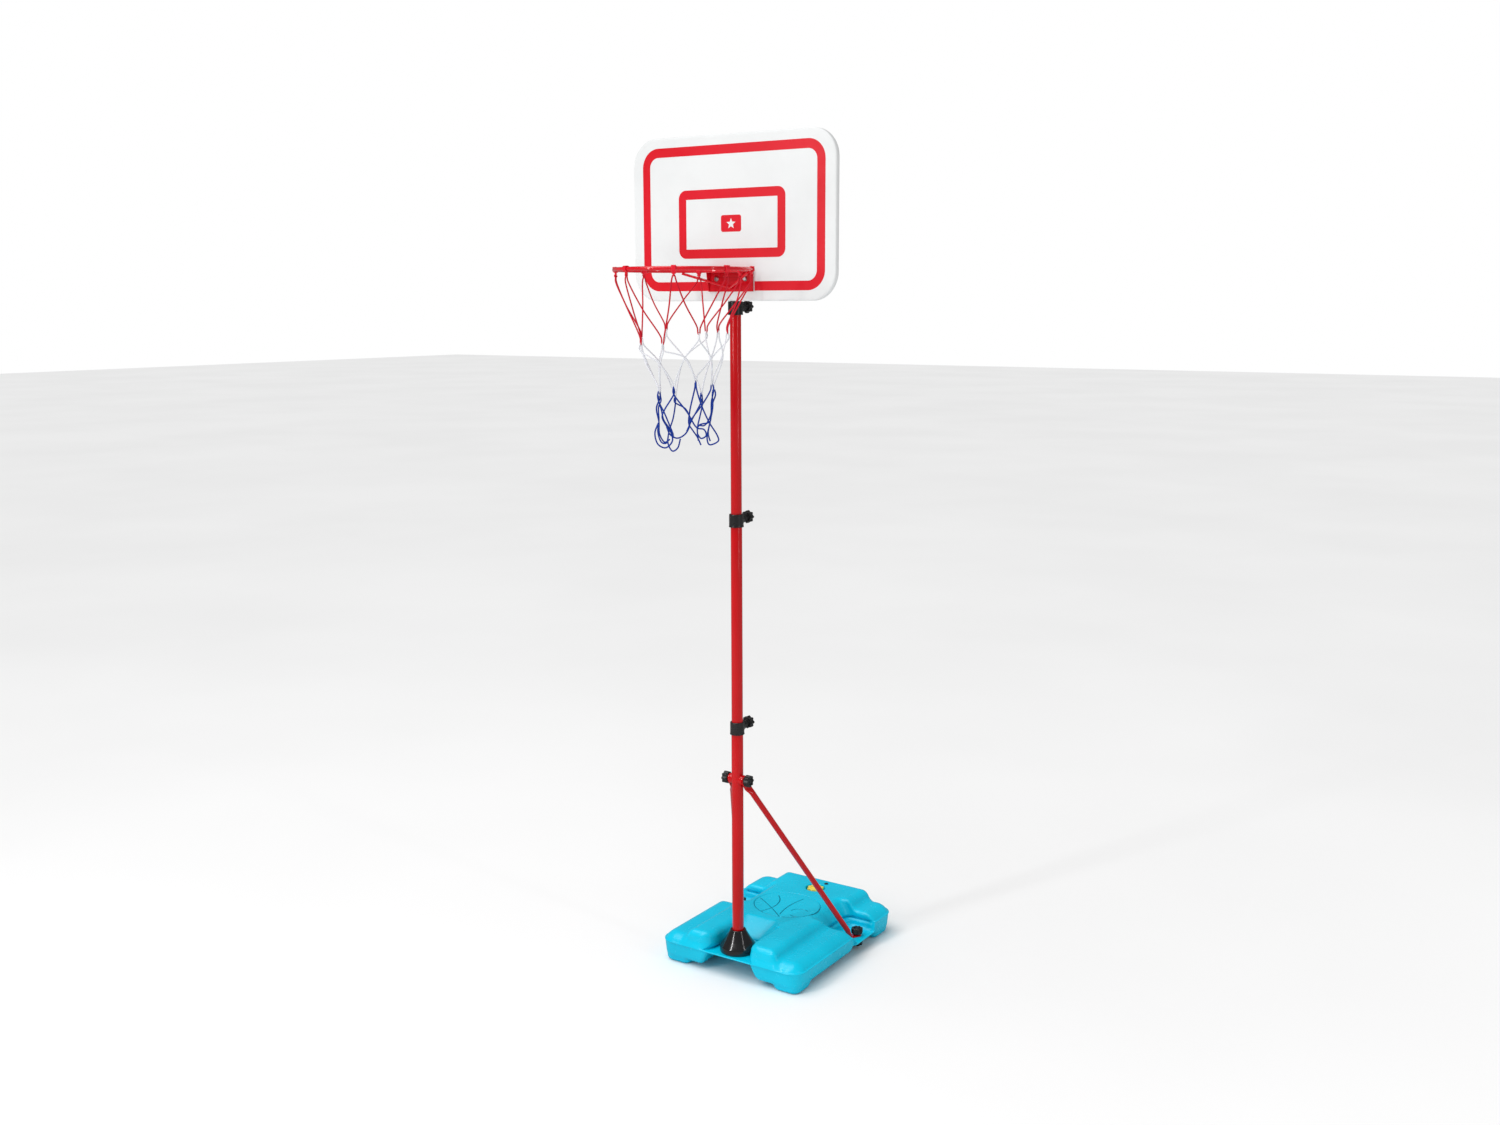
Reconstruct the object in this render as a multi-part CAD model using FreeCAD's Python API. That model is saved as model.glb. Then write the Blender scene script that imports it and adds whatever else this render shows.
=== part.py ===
"""Portable basketball hoop: water-filled plastic base, three-section telescoping pole, two rear braces,
moulded backboard, round rim and net.

Everything is laid out with the pole axis at x = 0, y = 0, the floor at z = 0, the rim toward -Y and the
player's right toward +X seen from behind. At the end every piece is moved along Y so that the origin
sits under the middle of the whole object. Millimetres throughout.
"""
import FreeCAD, Part
import math
import os

V = FreeCAD.Vector
X, Y, Z = V(1, 0, 0), V(0, 1, 0), V(0, 0, 1)

# --- base tank -----------------------------------------------------------------------------------
BASE_HALF_W = 187.0          # half width of the parting flange
BASE_FRONT = -48.0           # front edge of the flange
BASE_BACK = 395.0            # rear edge of the flange
BASE_CORNER = 36.0           # plan radius of the flange corners
FLANGE_Z = 50.0              # middle of the flange
FLANGE_T = 3.0               # two moulded walls pinched together
FLANGE_LIP = 2.5             # how far the flange stands out of the walls
WALL = 3.0                   # blow-moulded wall
SHOULDER_Z = 68.0            # top of the outer shoulder
PLATEAU_Z = 90.0             # top of the raised middle
PLATEAU_HALF_W = 118.0
BELLY_Z = 11.0               # underside between the feet
NOTCH_HALF_W = 46.0          # front notch that holds the pole foot, at floor level
NOTCH_BACK = 48.0
POCKET_Z = 30.0              # floor of the side pockets that hold the brace ends
POCKET_Y0, POCKET_Y1 = 210.0, 300.0
POCKET_X = 118.0             # inner end of a side pocket
BRACE_FOOT = V(163.0, 255.0, POCKET_Z)
CAP_XY = V(8.0, 326.0, 0.0)  # filler
VENT_XY = V(19.0, 359.0, 0.0)

# --- pole ----------------------------------------------------------------------------------------
TUBE_WALL = 0.55
FIT = 0.05                   # radial running clearance between two tubes
LOWER_R = 13.0
MIDDLE_R = LOWER_R - TUBE_WALL - FIT
TOP_R = MIDDLE_R - TUBE_WALL - FIT
BOARD_TUBE_R = TOP_R - TUBE_WALL - FIT
WEB_TOP = FLANGE_Z + FLANGE_T / 2
COLLAR_H = 28.0
COLLAR_R = 15.5
SEAT_H = 11.0                # how far a collar reaches down over its tube
SCREW_H = 17.0               # height of the clamp screw in the collar
LOWER_COLLAR_Z = 554.0
MIDDLE_COLLAR_Z = 1013.0
TOP_COLLAR_Z = 1461.0
MIDDLE_BOTTOM = 480.0
TOP_BOTTOM = 940.0
BOARD_TUBE_BOTTOM = 1380.0
BOARD_TUBE_TOP = 1660.0
EAR_END = 33.0               # rear face of the collar ear
KNOB_BACK = 38.0             # front face of the clamp knob
KNOB_R = 14.0
KNOB_H = 12.0
STUD_R = 3.0
STUD_HOLE = STUD_R + FIT
TIP_GAP = 0.3

# --- pole foot and braces ------------------------------------------------------------------------
CONE_R = 41.0
CONE_TOP_R = 16.8
CONE_BAND = 13.0             # straight skirt at the bottom of the cone
CONE_H = 50.0
BRACE_R = 6.5
BRACE_WALL = 1.0
BRACE_Z = 451.0              # height of the upper brace bolt
PAD_R = 11.0                 # weld pad on each side of the lower tube, tapped for the brace screw
PAD_FACE = 17.0              # distance of its flat face from the pole axis
EAR_T = 3.0                  # flattened tube end
HAND_NUT_H = 18.0            # ribbed nut under each pocket floor
HAND_NUT_RIBS = 8
EAR_HALF_W = 10.0

# --- head ----------------------------------------------------------------------------------------
BOARD_HALF_W = 250.0
BOARD_Z0, BOARD_Z1 = 1489.5, 1827.5
BOARD_CORNER = 58.0
BOARD_FRONT = -15.0
BOARD_DEPTH = 12.0
PANEL_T = 2.6
RIB_T = 2.0
RIM_Z = 1551.0
RIM_R = 136.0                # centre line of the rim rod
RIM_ROD = 4.0
RIM_Y = -185.0
BRACKET_HALF_W = 55.0
BRACKET_Z0 = 1509.0
BRACKET_T = 2.5
BOLT_X = 36.0
BOLT_Z = 1535.0
STRUT_R = 2.6
STRUT_ANGLE = 37.0           # where the strut meets the rim, from its rear
STRUT_DROP = 5.2             # the strut is welded under the rim rod
CLIP_ANGLES = (28.0, 73.0, 116.0, 158.0, 202.0, 252.0, 297.0, 342.0)   # net clips, from the rim's front
CLIP_R = 6.0
EYE_DROP = 9.0               # middle of a clip's eye below the rim's centre line
NET_LEVELS = ((1531.0, 134.5), (1461.0, 110.5), (1400.0, 92.0), (1345.0, 74.0), (1290.0, 60.0), (1180.0, 60.0))
NET_T = 2.0

Y_SHIFT = -((RIM_Y - RIM_R - RIM_ROD) + BASE_BACK) / 2


def cylinder(radius, start, direction, length):
    return Part.makeCylinder(radius, length, start, direction)


def tube(outer, inner, start, direction, length):
    return cylinder(outer, start, direction, length).cut(cylinder(inner, start, direction, length))


def rounded_wire(x0, x1, y0, y1, radius, z):
    """Closed rectangle with round corners in a horizontal plane."""
    r = min(radius, (x1 - x0) / 2 - 0.01, (y1 - y0) / 2 - 0.01)
    k = r * (1 - math.sqrt(0.5))
    corners = [
        (V(x1 - r, y0, z), V(x1 - k, y0 + k, z), V(x1, y0 + r, z)),
        (V(x1, y1 - r, z), V(x1 - k, y1 - k, z), V(x1 - r, y1, z)),
        (V(x0 + r, y1, z), V(x0 + k, y1 - k, z), V(x0, y1 - r, z)),
        (V(x0, y0 + r, z), V(x0 + k, y0 + k, z), V(x0 + r, y0, z)),
    ]
    edges = []
    for i, corner in enumerate(corners):
        edges.append(Part.Arc(*corner).toShape())
        edges.append(Part.makeLine(corner[2], corners[(i + 1) % 4][0]))
    return Part.Wire(edges)


def pillow(x0, x1, y0, y1, radius, levels):
    """Stack of rounded rectangles, one per (height, inset) level, skinned into one solid."""
    wires = [
        rounded_wire(x0 + inset, x1 - inset, y0 + inset, y1 - inset, max(radius - inset, 3.0), z)
        for z, inset in levels
    ]
    return Part.makeLoft(wires, True, True)


def mirrored(shape):
    return shape.mirror(V(0, 0, 0), X)


def both_sides(shape):
    return [shape, mirrored(shape)]


def joined(shapes):
    return shapes[0].multiFuse(shapes[1:]).removeSplitter()


def tank_body(w):
    """Outer form of the tank for w = 0; the space inside it for w = the wall thickness."""
    half, front, back = BASE_HALF_W - FLANGE_LIP - w, BASE_FRONT + FLANGE_LIP + w, BASE_BACK - FLANGE_LIP - w
    shoulder = [(FLANGE_Z, 0), (57 - w, 2), (63 - w, 6), (66.5 - w, 12), (SHOULDER_Z - w, 22)]
    plateau = [(FLANGE_Z, 0), (74 - w, 3), (83 - w, 7), (88 - w, 13), (PLATEAU_Z - w, 22)]
    belly = [(BELLY_Z + w, 20), (13.5 + w, 12), (20 + w, 6), (36, 2), (FLANGE_Z, 0)]
    foot = [(w, 13), (1.5 + w, 8), (6 + w, 3), (24, 0)]
    parts = [
        pillow(-half, half, front, back, BASE_CORNER - w, shoulder),
        pillow(-PLATEAU_HALF_W + w, PLATEAU_HALF_W - w, front + 8, back - 8, 40 - w, plateau),
        pillow(-half, half, front, back, BASE_CORNER - w, belly),
    ]
    for y0, y1 in ((front + 5, 26 - w), (316 + w, back - 5)):
        parts += both_sides(pillow(112 + w, half - 5, y0, y1, 24, foot))
    return joined(parts)


def notches(w):
    """What the front notch and the two side pockets take out of the tank, grown by w on every side."""
    web = FLANGE_T / 2 + w
    upper_front = [
        rounded_wire(-a - w, a + w, -150, back + w, a + w - 1, z)
        for z, a, back in (
            (FLANGE_Z + (web if w == 0 else 0), NOTCH_HALF_W, NOTCH_BACK),
            (68, 49, 70),
            (82, 52, 90),
            (PLATEAU_Z + 4, 55, 110),
        )
    ]
    lower_front = [
        rounded_wire(-a - w, a + w, -150, back + w, a + w - 1, z)
        for z, a, back in (
            (-2, 74, 86),
            (BELLY_Z + 4, 70, 82),
            (FLANGE_Z - (web if w == 0 else 0), 48, 56),
        )
    ]
    shapes = [Part.makeLoft(upper_front, True, True), Part.makeLoft(lower_front, True, True)]
    top = POCKET_Z - w
    bottom = POCKET_Z - FLANGE_T + w
    pocket = [
        rounded_wire(POCKET_X - out - w, 260, POCKET_Y0 - out - w, POCKET_Y1 + out + w, 20, z)
        for z, out in ((top, 0), (50, 3), (66, 9), (PLATEAU_Z + 4, 26))
    ]
    under = [
        rounded_wire(POCKET_X - out - w, 260, POCKET_Y0 - out - w, POCKET_Y1 + out + w, 20, z)
        for z, out in ((-2, 22), (BELLY_Z, 16), (bottom, 2))
    ]
    for wires in (pocket, under):
        shapes += both_sides(Part.makeLoft(wires, True, True))
    return shapes


def base_tank():
    outer = tank_body(0)
    flange = pillow(
        -BASE_HALF_W, BASE_HALF_W, BASE_FRONT, BASE_BACK, BASE_CORNER,
        [(FLANGE_Z - FLANGE_T / 2, 0.6), (FLANGE_Z, 0), (FLANGE_Z + FLANGE_T / 2, 0.6)],
    )
    shell = joined([outer, flange])
    for shape in notches(0):
        shell = shell.cut(shape)
    lips = both_sides(Part.makeBox(12, POCKET_Y1 - POCKET_Y0 + 6, FLANGE_T,
                                   V(BASE_HALF_W - 12, POCKET_Y0 - 3, POCKET_Z - FLANGE_T)))
    shell = joined([shell] + lips)
    inner = tank_body(WALL)
    for shape in notches(WALL):
        inner = inner.cut(shape)
    neck_top = PLATEAU_Z - 9
    recess = cylinder(23.5, CAP_XY + Z * neck_top, Z, 20)
    collar = cylinder(26.5, CAP_XY + Z * (neck_top - WALL), Z, 9 + WALL - 1)
    neck = cylinder(16.5, CAP_XY + Z * (neck_top - 20), Z, 20)
    inner = inner.cut(collar).cut(neck)
    shell = shell.cut(inner)
    shell = shell.cut(recess)
    shell = shell.cut(cylinder(13.0, CAP_XY + Z * 40, Z, 60))
    shell = shell.cut(cylinder(3.2, VENT_XY + Z * 70, Z, 40))
    shell = shell.cut(cylinder(4.2, Z * 20, Z, 50))
    for side in (1, -1):
        foot = V(side * BRACE_FOOT.x, BRACE_FOOT.y, 0)
        shell = shell.cut(cylinder(4.2, foot, Z, 60))
    return shell


def filler_cap():
    """Screw cap: scalloped disc above a plug that fills the neck."""
    z0 = PLATEAU_Z - 9 + 1.5
    disc = cylinder(17.0, CAP_XY + Z * z0, Z, 7.5)
    for i in range(8):
        a = math.radians(45 * i)
        disc = disc.fuse(cylinder(4.0, CAP_XY + V(16.0 * math.cos(a), 16.0 * math.sin(a), z0), Z, 7.5))
    grip = Part.makeBox(24, 5, 3.5, CAP_XY + V(-12, -2.5, z0 + 7.5))
    plug = tube(13.0 - FIT, 10.5, CAP_XY + Z * (z0 - 15), Z, 15)
    return joined([disc, grip, plug])


def star_knob(hub, stud):
    """Eight-lobed knob, axis +Z, with a round hub below z = 0 and a threaded stud below the hub."""
    body = cylinder(KNOB_R - 3.0, V(0, 0, 0), Z, KNOB_H)
    for i in range(8):
        a = math.radians(45 * i)
        spot = V((KNOB_R - 3.0) * math.cos(a), (KNOB_R - 3.0) * math.sin(a), 0)
        lobe = cylinder(3.0, spot, Z, KNOB_H - 1.5)
        cone = Part.makeCone(3.0, 2.0, 1.5, spot + Z * (KNOB_H - 1.5), Z)
        body = body.fuse(lobe).fuse(cone)
    body = body.cut(cylinder(6.5, Z * (KNOB_H - 2.0), Z, 5))
    dome = Part.makeCone(5.0, 3.0, 2.0, Z * (KNOB_H - 2.0), Z)
    neck = Part.makeCone(7.0, 8.5, hub, Z * -hub, Z)
    screw = cylinder(STUD_R, Z * -(hub + stud), Z, hub + stud)
    return joined([body, dome, neck, screw])


def aimed(shape, place, direction):
    """Turns a piece drawn along +Z to point along the direction, and puts it there."""
    shape = shape.copy()
    shape.Placement = FreeCAD.Placement(place, FreeCAD.Rotation(Z, direction))
    return shape


def hexagon(across_flats, place, direction, height):
    r = across_flats / math.sqrt(3)
    points = [V(r * math.cos(math.radians(60 * i)), r * math.sin(math.radians(60 * i)), 0) for i in range(7)]
    prism = Part.Face(Part.makePolygon(points)).extrude(Z * height)
    return aimed(prism, place, direction)


def collar(z0, outer_r, inner_r):
    """Clamp collar: seated on the outer tube, its upper half guides the inner one; ear to the rear."""
    profile = [
        V(outer_r, 0, z0), V(COLLAR_R, 0, z0), V(COLLAR_R + 0.5, 0, z0 + 1.5), V(COLLAR_R, 0, z0 + COLLAR_H - 1.5),
        V(COLLAR_R - 1.0, 0, z0 + COLLAR_H), V(inner_r + FIT, 0, z0 + COLLAR_H), V(inner_r + FIT, 0, z0 + SEAT_H),
        V(outer_r, 0, z0 + SEAT_H), V(outer_r, 0, z0),
    ]
    sleeve = Part.Face(Part.makePolygon(profile)).revolve(V(0, 0, 0), Z, 360)
    zs = z0 + SCREW_H
    ear = Part.makeLoft([
        aimed(Part.Wire(Part.Ellipse(V(0, 0, 0), 12.5, 12.0).toShape()), V(0, 9, z0 + COLLAR_H / 2), Y),
        aimed(Part.Wire(Part.Ellipse(V(0, 0, 0), 8.5, 8.4).toShape()), V(0, EAR_END, zs), Y),
    ], True, True)
    ear = ear.cut(cylinder(COLLAR_R - 1.0, V(0, 0, z0 - 5), Z, COLLAR_H + 10))
    body = joined([sleeve, ear])
    body = body.cut(cylinder(STUD_HOLE, V(0, 0, zs), Y, EAR_END + 1))
    return body.cut(hexagon(10.0, V(0, EAR_END - 5.0, zs), Y, 6.0))


def collar_nut(z0):
    zs = z0 + SCREW_H
    nut = hexagon(10.0, V(0, EAR_END - 5.0, zs), Y, 5.0)
    return nut.cut(cylinder(STUD_HOLE, V(0, EAR_END - 6, zs), Y, 8))


def collar_knob(z0, inner_r):
    hub = KNOB_BACK - EAR_END - TIP_GAP
    return aimed(star_knob(hub, KNOB_BACK - hub - inner_r - TIP_GAP), V(0, KNOB_BACK, z0 + SCREW_H), Y)


def foot_cone():
    profile = [
        V(LOWER_R, 0, WEB_TOP), V(CONE_R, 0, WEB_TOP), V(CONE_R, 0, WEB_TOP + CONE_BAND),
        V(CONE_TOP_R, 0, WEB_TOP + CONE_H - 3), V(CONE_TOP_R - 0.6, 0, WEB_TOP + CONE_H),
        V(LOWER_R, 0, WEB_TOP + CONE_H),
    ]
    skin = Part.Face(Part.makePolygon(profile + profile[:1])).revolve(V(0, 0, 0), Z, 360)
    hollow = [
        V(LOWER_R + 2.5, 0, WEB_TOP), V(CONE_R - 2.5, 0, WEB_TOP), V(CONE_R - 2.5, 0, WEB_TOP + CONE_BAND - 1),
        V(LOWER_R + 2.5, 0, WEB_TOP + CONE_H - 7),
    ]
    return skin.cut(Part.Face(Part.makePolygon(hollow + hollow[:1])).revolve(V(0, 0, 0), Z, 360))


def foot_plug():
    """Plastic plug in the bottom of the pole that takes the foot bolt."""
    plug = cylinder(LOWER_R - TUBE_WALL, Z * WEB_TOP, Z, 20)
    return plug.cut(cylinder(4.0, Z * WEB_TOP, Z, 16))


def foot_bolt():
    under = FLANGE_Z - FLANGE_T / 2 - 2.0
    shank = cylinder(4.0, Z * under, Z, WEB_TOP + 15 - under)
    return joined([shank, hexagon(13.0, Z * (under - 5.5), Z, 5.5)])


def foot_washer():
    under = FLANGE_Z - FLANGE_T / 2 - 2.0
    return tube(14.0, 4.0, Z * under, Z, 2.0)


def section(place, u, w, half_u, half_w, power):
    """Closed polygon on a superellipse: power 2 is round, a high power is a rectangle with round corners."""
    points = []
    for i in range(24):
        t = math.radians(15 * i)
        c, q = math.cos(t), math.sin(t)
        across = math.copysign(abs(c) ** (2 / power), c) * half_u
        along = math.copysign(abs(q) ** (2 / power), q) * half_w
        points.append(place + u * across + w * along)
    return Part.makePolygon(points + points[:1])


def brace():
    """Right brace: round tube with both ends pressed flat, bolted at the pole and in the side pocket."""
    top = V(PAD_FACE + EAR_T / 2, 0, BRACE_Z)
    foot = BRACE_FOOT + Z * (EAR_T / 2)
    run = foot - top
    down = V(0, run.y, run.z).normalize()
    out = V(run.x, run.y, 0).normalize()
    a1 = top + down * 44 + X * 9
    b1 = foot - out * 27 + Z * 18
    along = (b1 - a1).normalize()
    top_side = X.cross(down)
    foot_side = out.cross(Z)
    u = (top_side - along * top_side.dot(along)).normalize()
    w = along.cross(u)
    thin = EAR_T / 2
    rounding = ((9.6, 3.5), (8.0, 6.5), (4.5, 9.0), (0.0, EAR_HALF_W))
    rings = [section(top - down * s, top_side, X, half, thin, 10) for s, half in rounding]
    rings.append(section(top + down * 16, top_side, X, EAR_HALF_W, thin, 10))
    rings.append(section(a1, u, w, BRACE_R, BRACE_R, 2))
    rings.append(section(b1, u, w, BRACE_R, BRACE_R, 2))
    rings.append(section(foot - out * 17, Z, foot_side, thin, EAR_HALF_W, 10))
    rings += [section(foot + out * s, Z, foot_side, thin, half, 10) for s, half in reversed(rounding)]
    bore_r = BRACE_R - BRACE_WALL
    bore = Part.makeLoft([section(end, u, w, bore_r, bore_r, 2) for end in (a1, b1)], True, True)
    body = Part.makeLoft(rings, True, True).cut(bore)
    body = body.cut(cylinder(STUD_HOLE, top - X * 5, X, 10))
    return body.cut(cylinder(STUD_HOLE, foot - Z * 5, Z, 10))


def brace_pad():
    """Round pad saddled on the right side of the lower tube; its tapped hole stops at the tube wall."""
    pad = cylinder(PAD_R, V(LOWER_R - 8, 0, BRACE_Z), X, PAD_FACE - LOWER_R + 8)
    pad = pad.cut(cylinder(LOWER_R, V(0, 0, BRACE_Z - 30), Z, 60))
    return pad.cut(cylinder(STUD_HOLE, V(LOWER_R - 8, 0, BRACE_Z), X, 30))


def brace_knob():
    hub = 3.0
    seat = PAD_FACE + EAR_T
    return aimed(star_knob(hub, seat - LOWER_R - TIP_GAP), V(seat + hub, 0, BRACE_Z), X)


def base_knob():
    hub = 4.0
    return aimed(star_knob(hub, 22.0), BRACE_FOOT + Z * (EAR_T + hub), Z)


def base_nut():
    """Ribbed hand nut under the pocket floor."""
    spot = V(BRACE_FOOT.x, BRACE_FOOT.y, POCKET_Z - FLANGE_T)
    ribs = []
    for i in range(HAND_NUT_RIBS):
        a = 2 * math.pi * i / HAND_NUT_RIBS
        ribs.append(cylinder(2.4, spot + V(10.6 * math.cos(a), 10.6 * math.sin(a), -HAND_NUT_H), Z, HAND_NUT_H - 3))
    nut = joined([cylinder(11.4, spot - Z * HAND_NUT_H, Z, HAND_NUT_H)] + ribs)
    return nut.cut(cylinder(STUD_HOLE, spot - Z * 21, Z, 30))


def board_outline(inset, y):
    flat = rounded_wire(-BOARD_HALF_W + inset, BOARD_HALF_W - inset, BOARD_Z0 + inset, BOARD_Z1 - inset,
                        BOARD_CORNER - inset, 0)
    flat.rotate(V(0, 0, 0), X, 90)
    flat.translate(V(0, y, 0))
    return flat


def backboard():
    """Moulded board: front panel, turned-back edge and ribs behind."""
    back = BOARD_FRONT + BOARD_DEPTH
    block = Part.makeLoft([
        board_outline(1.2, BOARD_FRONT),
        board_outline(0, BOARD_FRONT + 1.5),
        board_outline(0, back),
    ], True, True)
    room = Part.Face(board_outline(2.6, BOARD_FRONT + PANEL_T)).extrude(Y * BOARD_DEPTH)
    board = block.cut(room)
    depth = BOARD_DEPTH - PANEL_T
    ribs = []
    for x in (-175, -95, 95, 175):
        ribs.append(Part.makeBox(RIB_T, depth, BOARD_Z1 - BOARD_Z0 - 4, V(x - 1, BOARD_FRONT + PANEL_T, BOARD_Z0 + 2)))
    for z in (1588, 1668, 1748):
        for x0 in (-BOARD_HALF_W + 2, 20):
            ribs.append(Part.makeBox(BOARD_HALF_W - 22, depth, RIB_T, V(x0, BOARD_FRONT + PANEL_T, z)))
    for x in (-21, 19):
        ribs.append(Part.makeBox(RIB_T, depth, BOARD_Z1 - BOARD_Z0 - 94, V(x, BOARD_FRONT + PANEL_T, BOARD_Z0 + 92)))
    ribs = [rib.common(block) for rib in ribs]
    board = joined([board] + ribs)
    board = board.cut(Part.makeBox(28, BOARD_DEPTH, 12, V(-14, BOARD_FRONT + PANEL_T, BOARD_Z0 - 6)))
    for x in (-BOLT_X, BOLT_X):
        board = board.cut(cylinder(STUD_HOLE, V(x, BOARD_FRONT - 5, BOLT_Z), Y, 40))
    return board


def board_clamp():
    """Pressed saddle behind the board: a half-round channel over the tube and two bolted wings."""
    inner = BOARD_TUBE_R
    y0 = BOARD_FRONT + PANEL_T
    z0, h = BOARD_Z0 + 12, 72.0
    channel = tube(inner + 2.0, inner, V(0, 0, z0), Z, h)
    channel = channel.cut(Part.makeBox(60, 40, h + 2, V(-30, -40, z0 - 1)))
    pieces = [channel]
    for side in (1, -1):
        wall_x = inner if side > 0 else -inner - 2.0
        pieces.append(Part.makeBox(2.0, -y0, h, V(wall_x, y0, z0)))
        wing_x = inner if side > 0 else -BRACKET_HALF_W + 2
        pieces.append(Part.makeBox(BRACKET_HALF_W - 2 - inner, 2.0, h, V(wing_x, y0, z0)))
    clamp = joined(pieces)
    for x in (-BOLT_X, BOLT_X):
        clamp = clamp.cut(cylinder(STUD_HOLE, V(x, BOARD_FRONT - 5, BOLT_Z), Y, 40))
    return clamp.cut(cylinder(2.0, V(0, 0, BOLT_Z + 24), Y, 40))


def clamp_screw():
    """Small screw that locks the board tube in the saddle."""
    y_in = BOARD_TUBE_R - 3.0
    shank = cylinder(2.0, V(0, y_in, BOLT_Z + 24), Y, 5.0)
    return joined([shank, cylinder(4.0, V(0, BOARD_TUBE_R + 2.0, BOLT_Z + 24), Y, 2.6)])


def rim_bracket():
    """Pressed steel bracket: plate on the board, top flange out to the rim, folded cheeks."""
    z1 = RIM_Z + RIM_ROD
    y1 = BOARD_FRONT
    reach = -(RIM_Y + RIM_R) + BOARD_FRONT
    plate = Part.makeBox(2 * BRACKET_HALF_W, BRACKET_T, z1 - BRACKET_Z0, V(-BRACKET_HALF_W, y1 - BRACKET_T, BRACKET_Z0))
    half_in = 28.0
    outline = [
        V(-BRACKET_HALF_W, y1, 0), V(BRACKET_HALF_W, y1, 0), V(BRACKET_HALF_W, y1 - 14, 0),
        V(half_in + 12, y1 - reach - 16, 0), V(-half_in - 12, y1 - reach - 16, 0), V(-BRACKET_HALF_W, y1 - 14, 0),
    ]
    shelf = Part.Face(Part.makePolygon(outline + outline[:1])).extrude(Z * BRACKET_T)
    shelf.translate(Z * (RIM_Z - BRACKET_T / 2))
    shelf = shelf.cut(cylinder(RIM_R, V(0, RIM_Y, RIM_Z - 20), Z, 40))
    cheeks = []
    for x in (-BRACKET_HALF_W, BRACKET_HALF_W - 2.0):
        corners = [V(x, y1, BRACKET_Z0), V(x, y1, z1), V(x, y1 - 14, z1), V(x, y1 - 5, BRACKET_Z0)]
        cheeks.append(Part.Face(Part.makePolygon(corners + corners[:1])).extrude(X * 2.0))
    bracket = joined([plate, shelf] + cheeks)
    bracket = bracket.cut(rim_solid())
    for x in (-BOLT_X, BOLT_X):
        bracket = bracket.cut(cylinder(STUD_HOLE, V(x, BOARD_FRONT - 9, BOLT_Z), Y, 40))
    return bracket


def rim_solid():
    return Part.makeTorus(RIM_R, RIM_ROD, V(0, RIM_Y, RIM_Z), Z)


def rim_strut():
    """V-shaped rod under the rim: from two points of the rim down to the foot of the bracket."""
    low = V(0, BOARD_FRONT - BRACKET_T - STRUT_R, BRACKET_Z0 + 8)
    shapes = [Part.makeSphere(STRUT_R, low)]
    for side in (1, -1):
        a = math.radians(side * STRUT_ANGLE)
        high = V(RIM_R * math.sin(a), RIM_Y + RIM_R * math.cos(a), RIM_Z - STRUT_DROP)
        shapes.append(cylinder(STRUT_R, low, high - low, (high - low).Length))
    return joined(shapes).cut(rim_solid())


def rim_bolts():
    bolts = []
    for x in (-BOLT_X, BOLT_X):
        shank = cylinder(STUD_R, V(x, BOARD_FRONT - BRACKET_T, BOLT_Z), Y, 14)
        head = aimed(Part.makeCone(5.5, 3.5, 3.2), V(x, BOARD_FRONT - BRACKET_T, BOLT_Z), Y * -1)
        bolts.append(joined([shank, head]))
    return Part.makeCompound(bolts)


def rim_nuts():
    y0 = BOARD_FRONT + PANEL_T + 2.0
    nuts = []
    for x in (-BOLT_X, BOLT_X):
        nut = hexagon(10.0, V(x, y0, BOLT_Z), Y, 5.0)
        nuts.append(nut.cut(cylinder(STUD_R, V(x, y0 - 1, BOLT_Z), Y, 10)))
    return Part.makeCompound(nuts)


def net_clips():
    """Eight snap clips round the rim rod, each with a small eye below that carries the net."""
    clips = []
    for angle in CLIP_ANGLES:
        a = math.radians(angle)
        outward = V(math.sin(a), -math.cos(a), 0)
        tangent = V(math.cos(a), math.sin(a), 0)
        spot = V(0, RIM_Y, RIM_Z) + outward * RIM_R
        eye_at = spot - Z * EYE_DROP
        ring = cylinder(CLIP_R, spot - tangent * 4.5, tangent, 9)
        eye = cylinder(3.7, eye_at - tangent * 1.2, tangent, 2.4)
        hole = cylinder(2.0, eye_at - tangent * 4, tangent, 8)
        clips.append(joined([ring, eye]).cut(hole).cut(rim_solid()))
    return Part.makeCompound(clips)


def net():
    """The soft net as a thin tapered skirt, open above and below."""
    outer = [V(radius, 0, z) for z, radius in NET_LEVELS]
    inner = [p - X * NET_T for p in reversed(outer)]
    face = Part.Face(Part.makePolygon(outer + inner + outer[:1]))
    skirt = face.revolve(V(0, 0, 0), Z, 360)
    skirt.translate(V(0, RIM_Y, 0))
    return skirt


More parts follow.
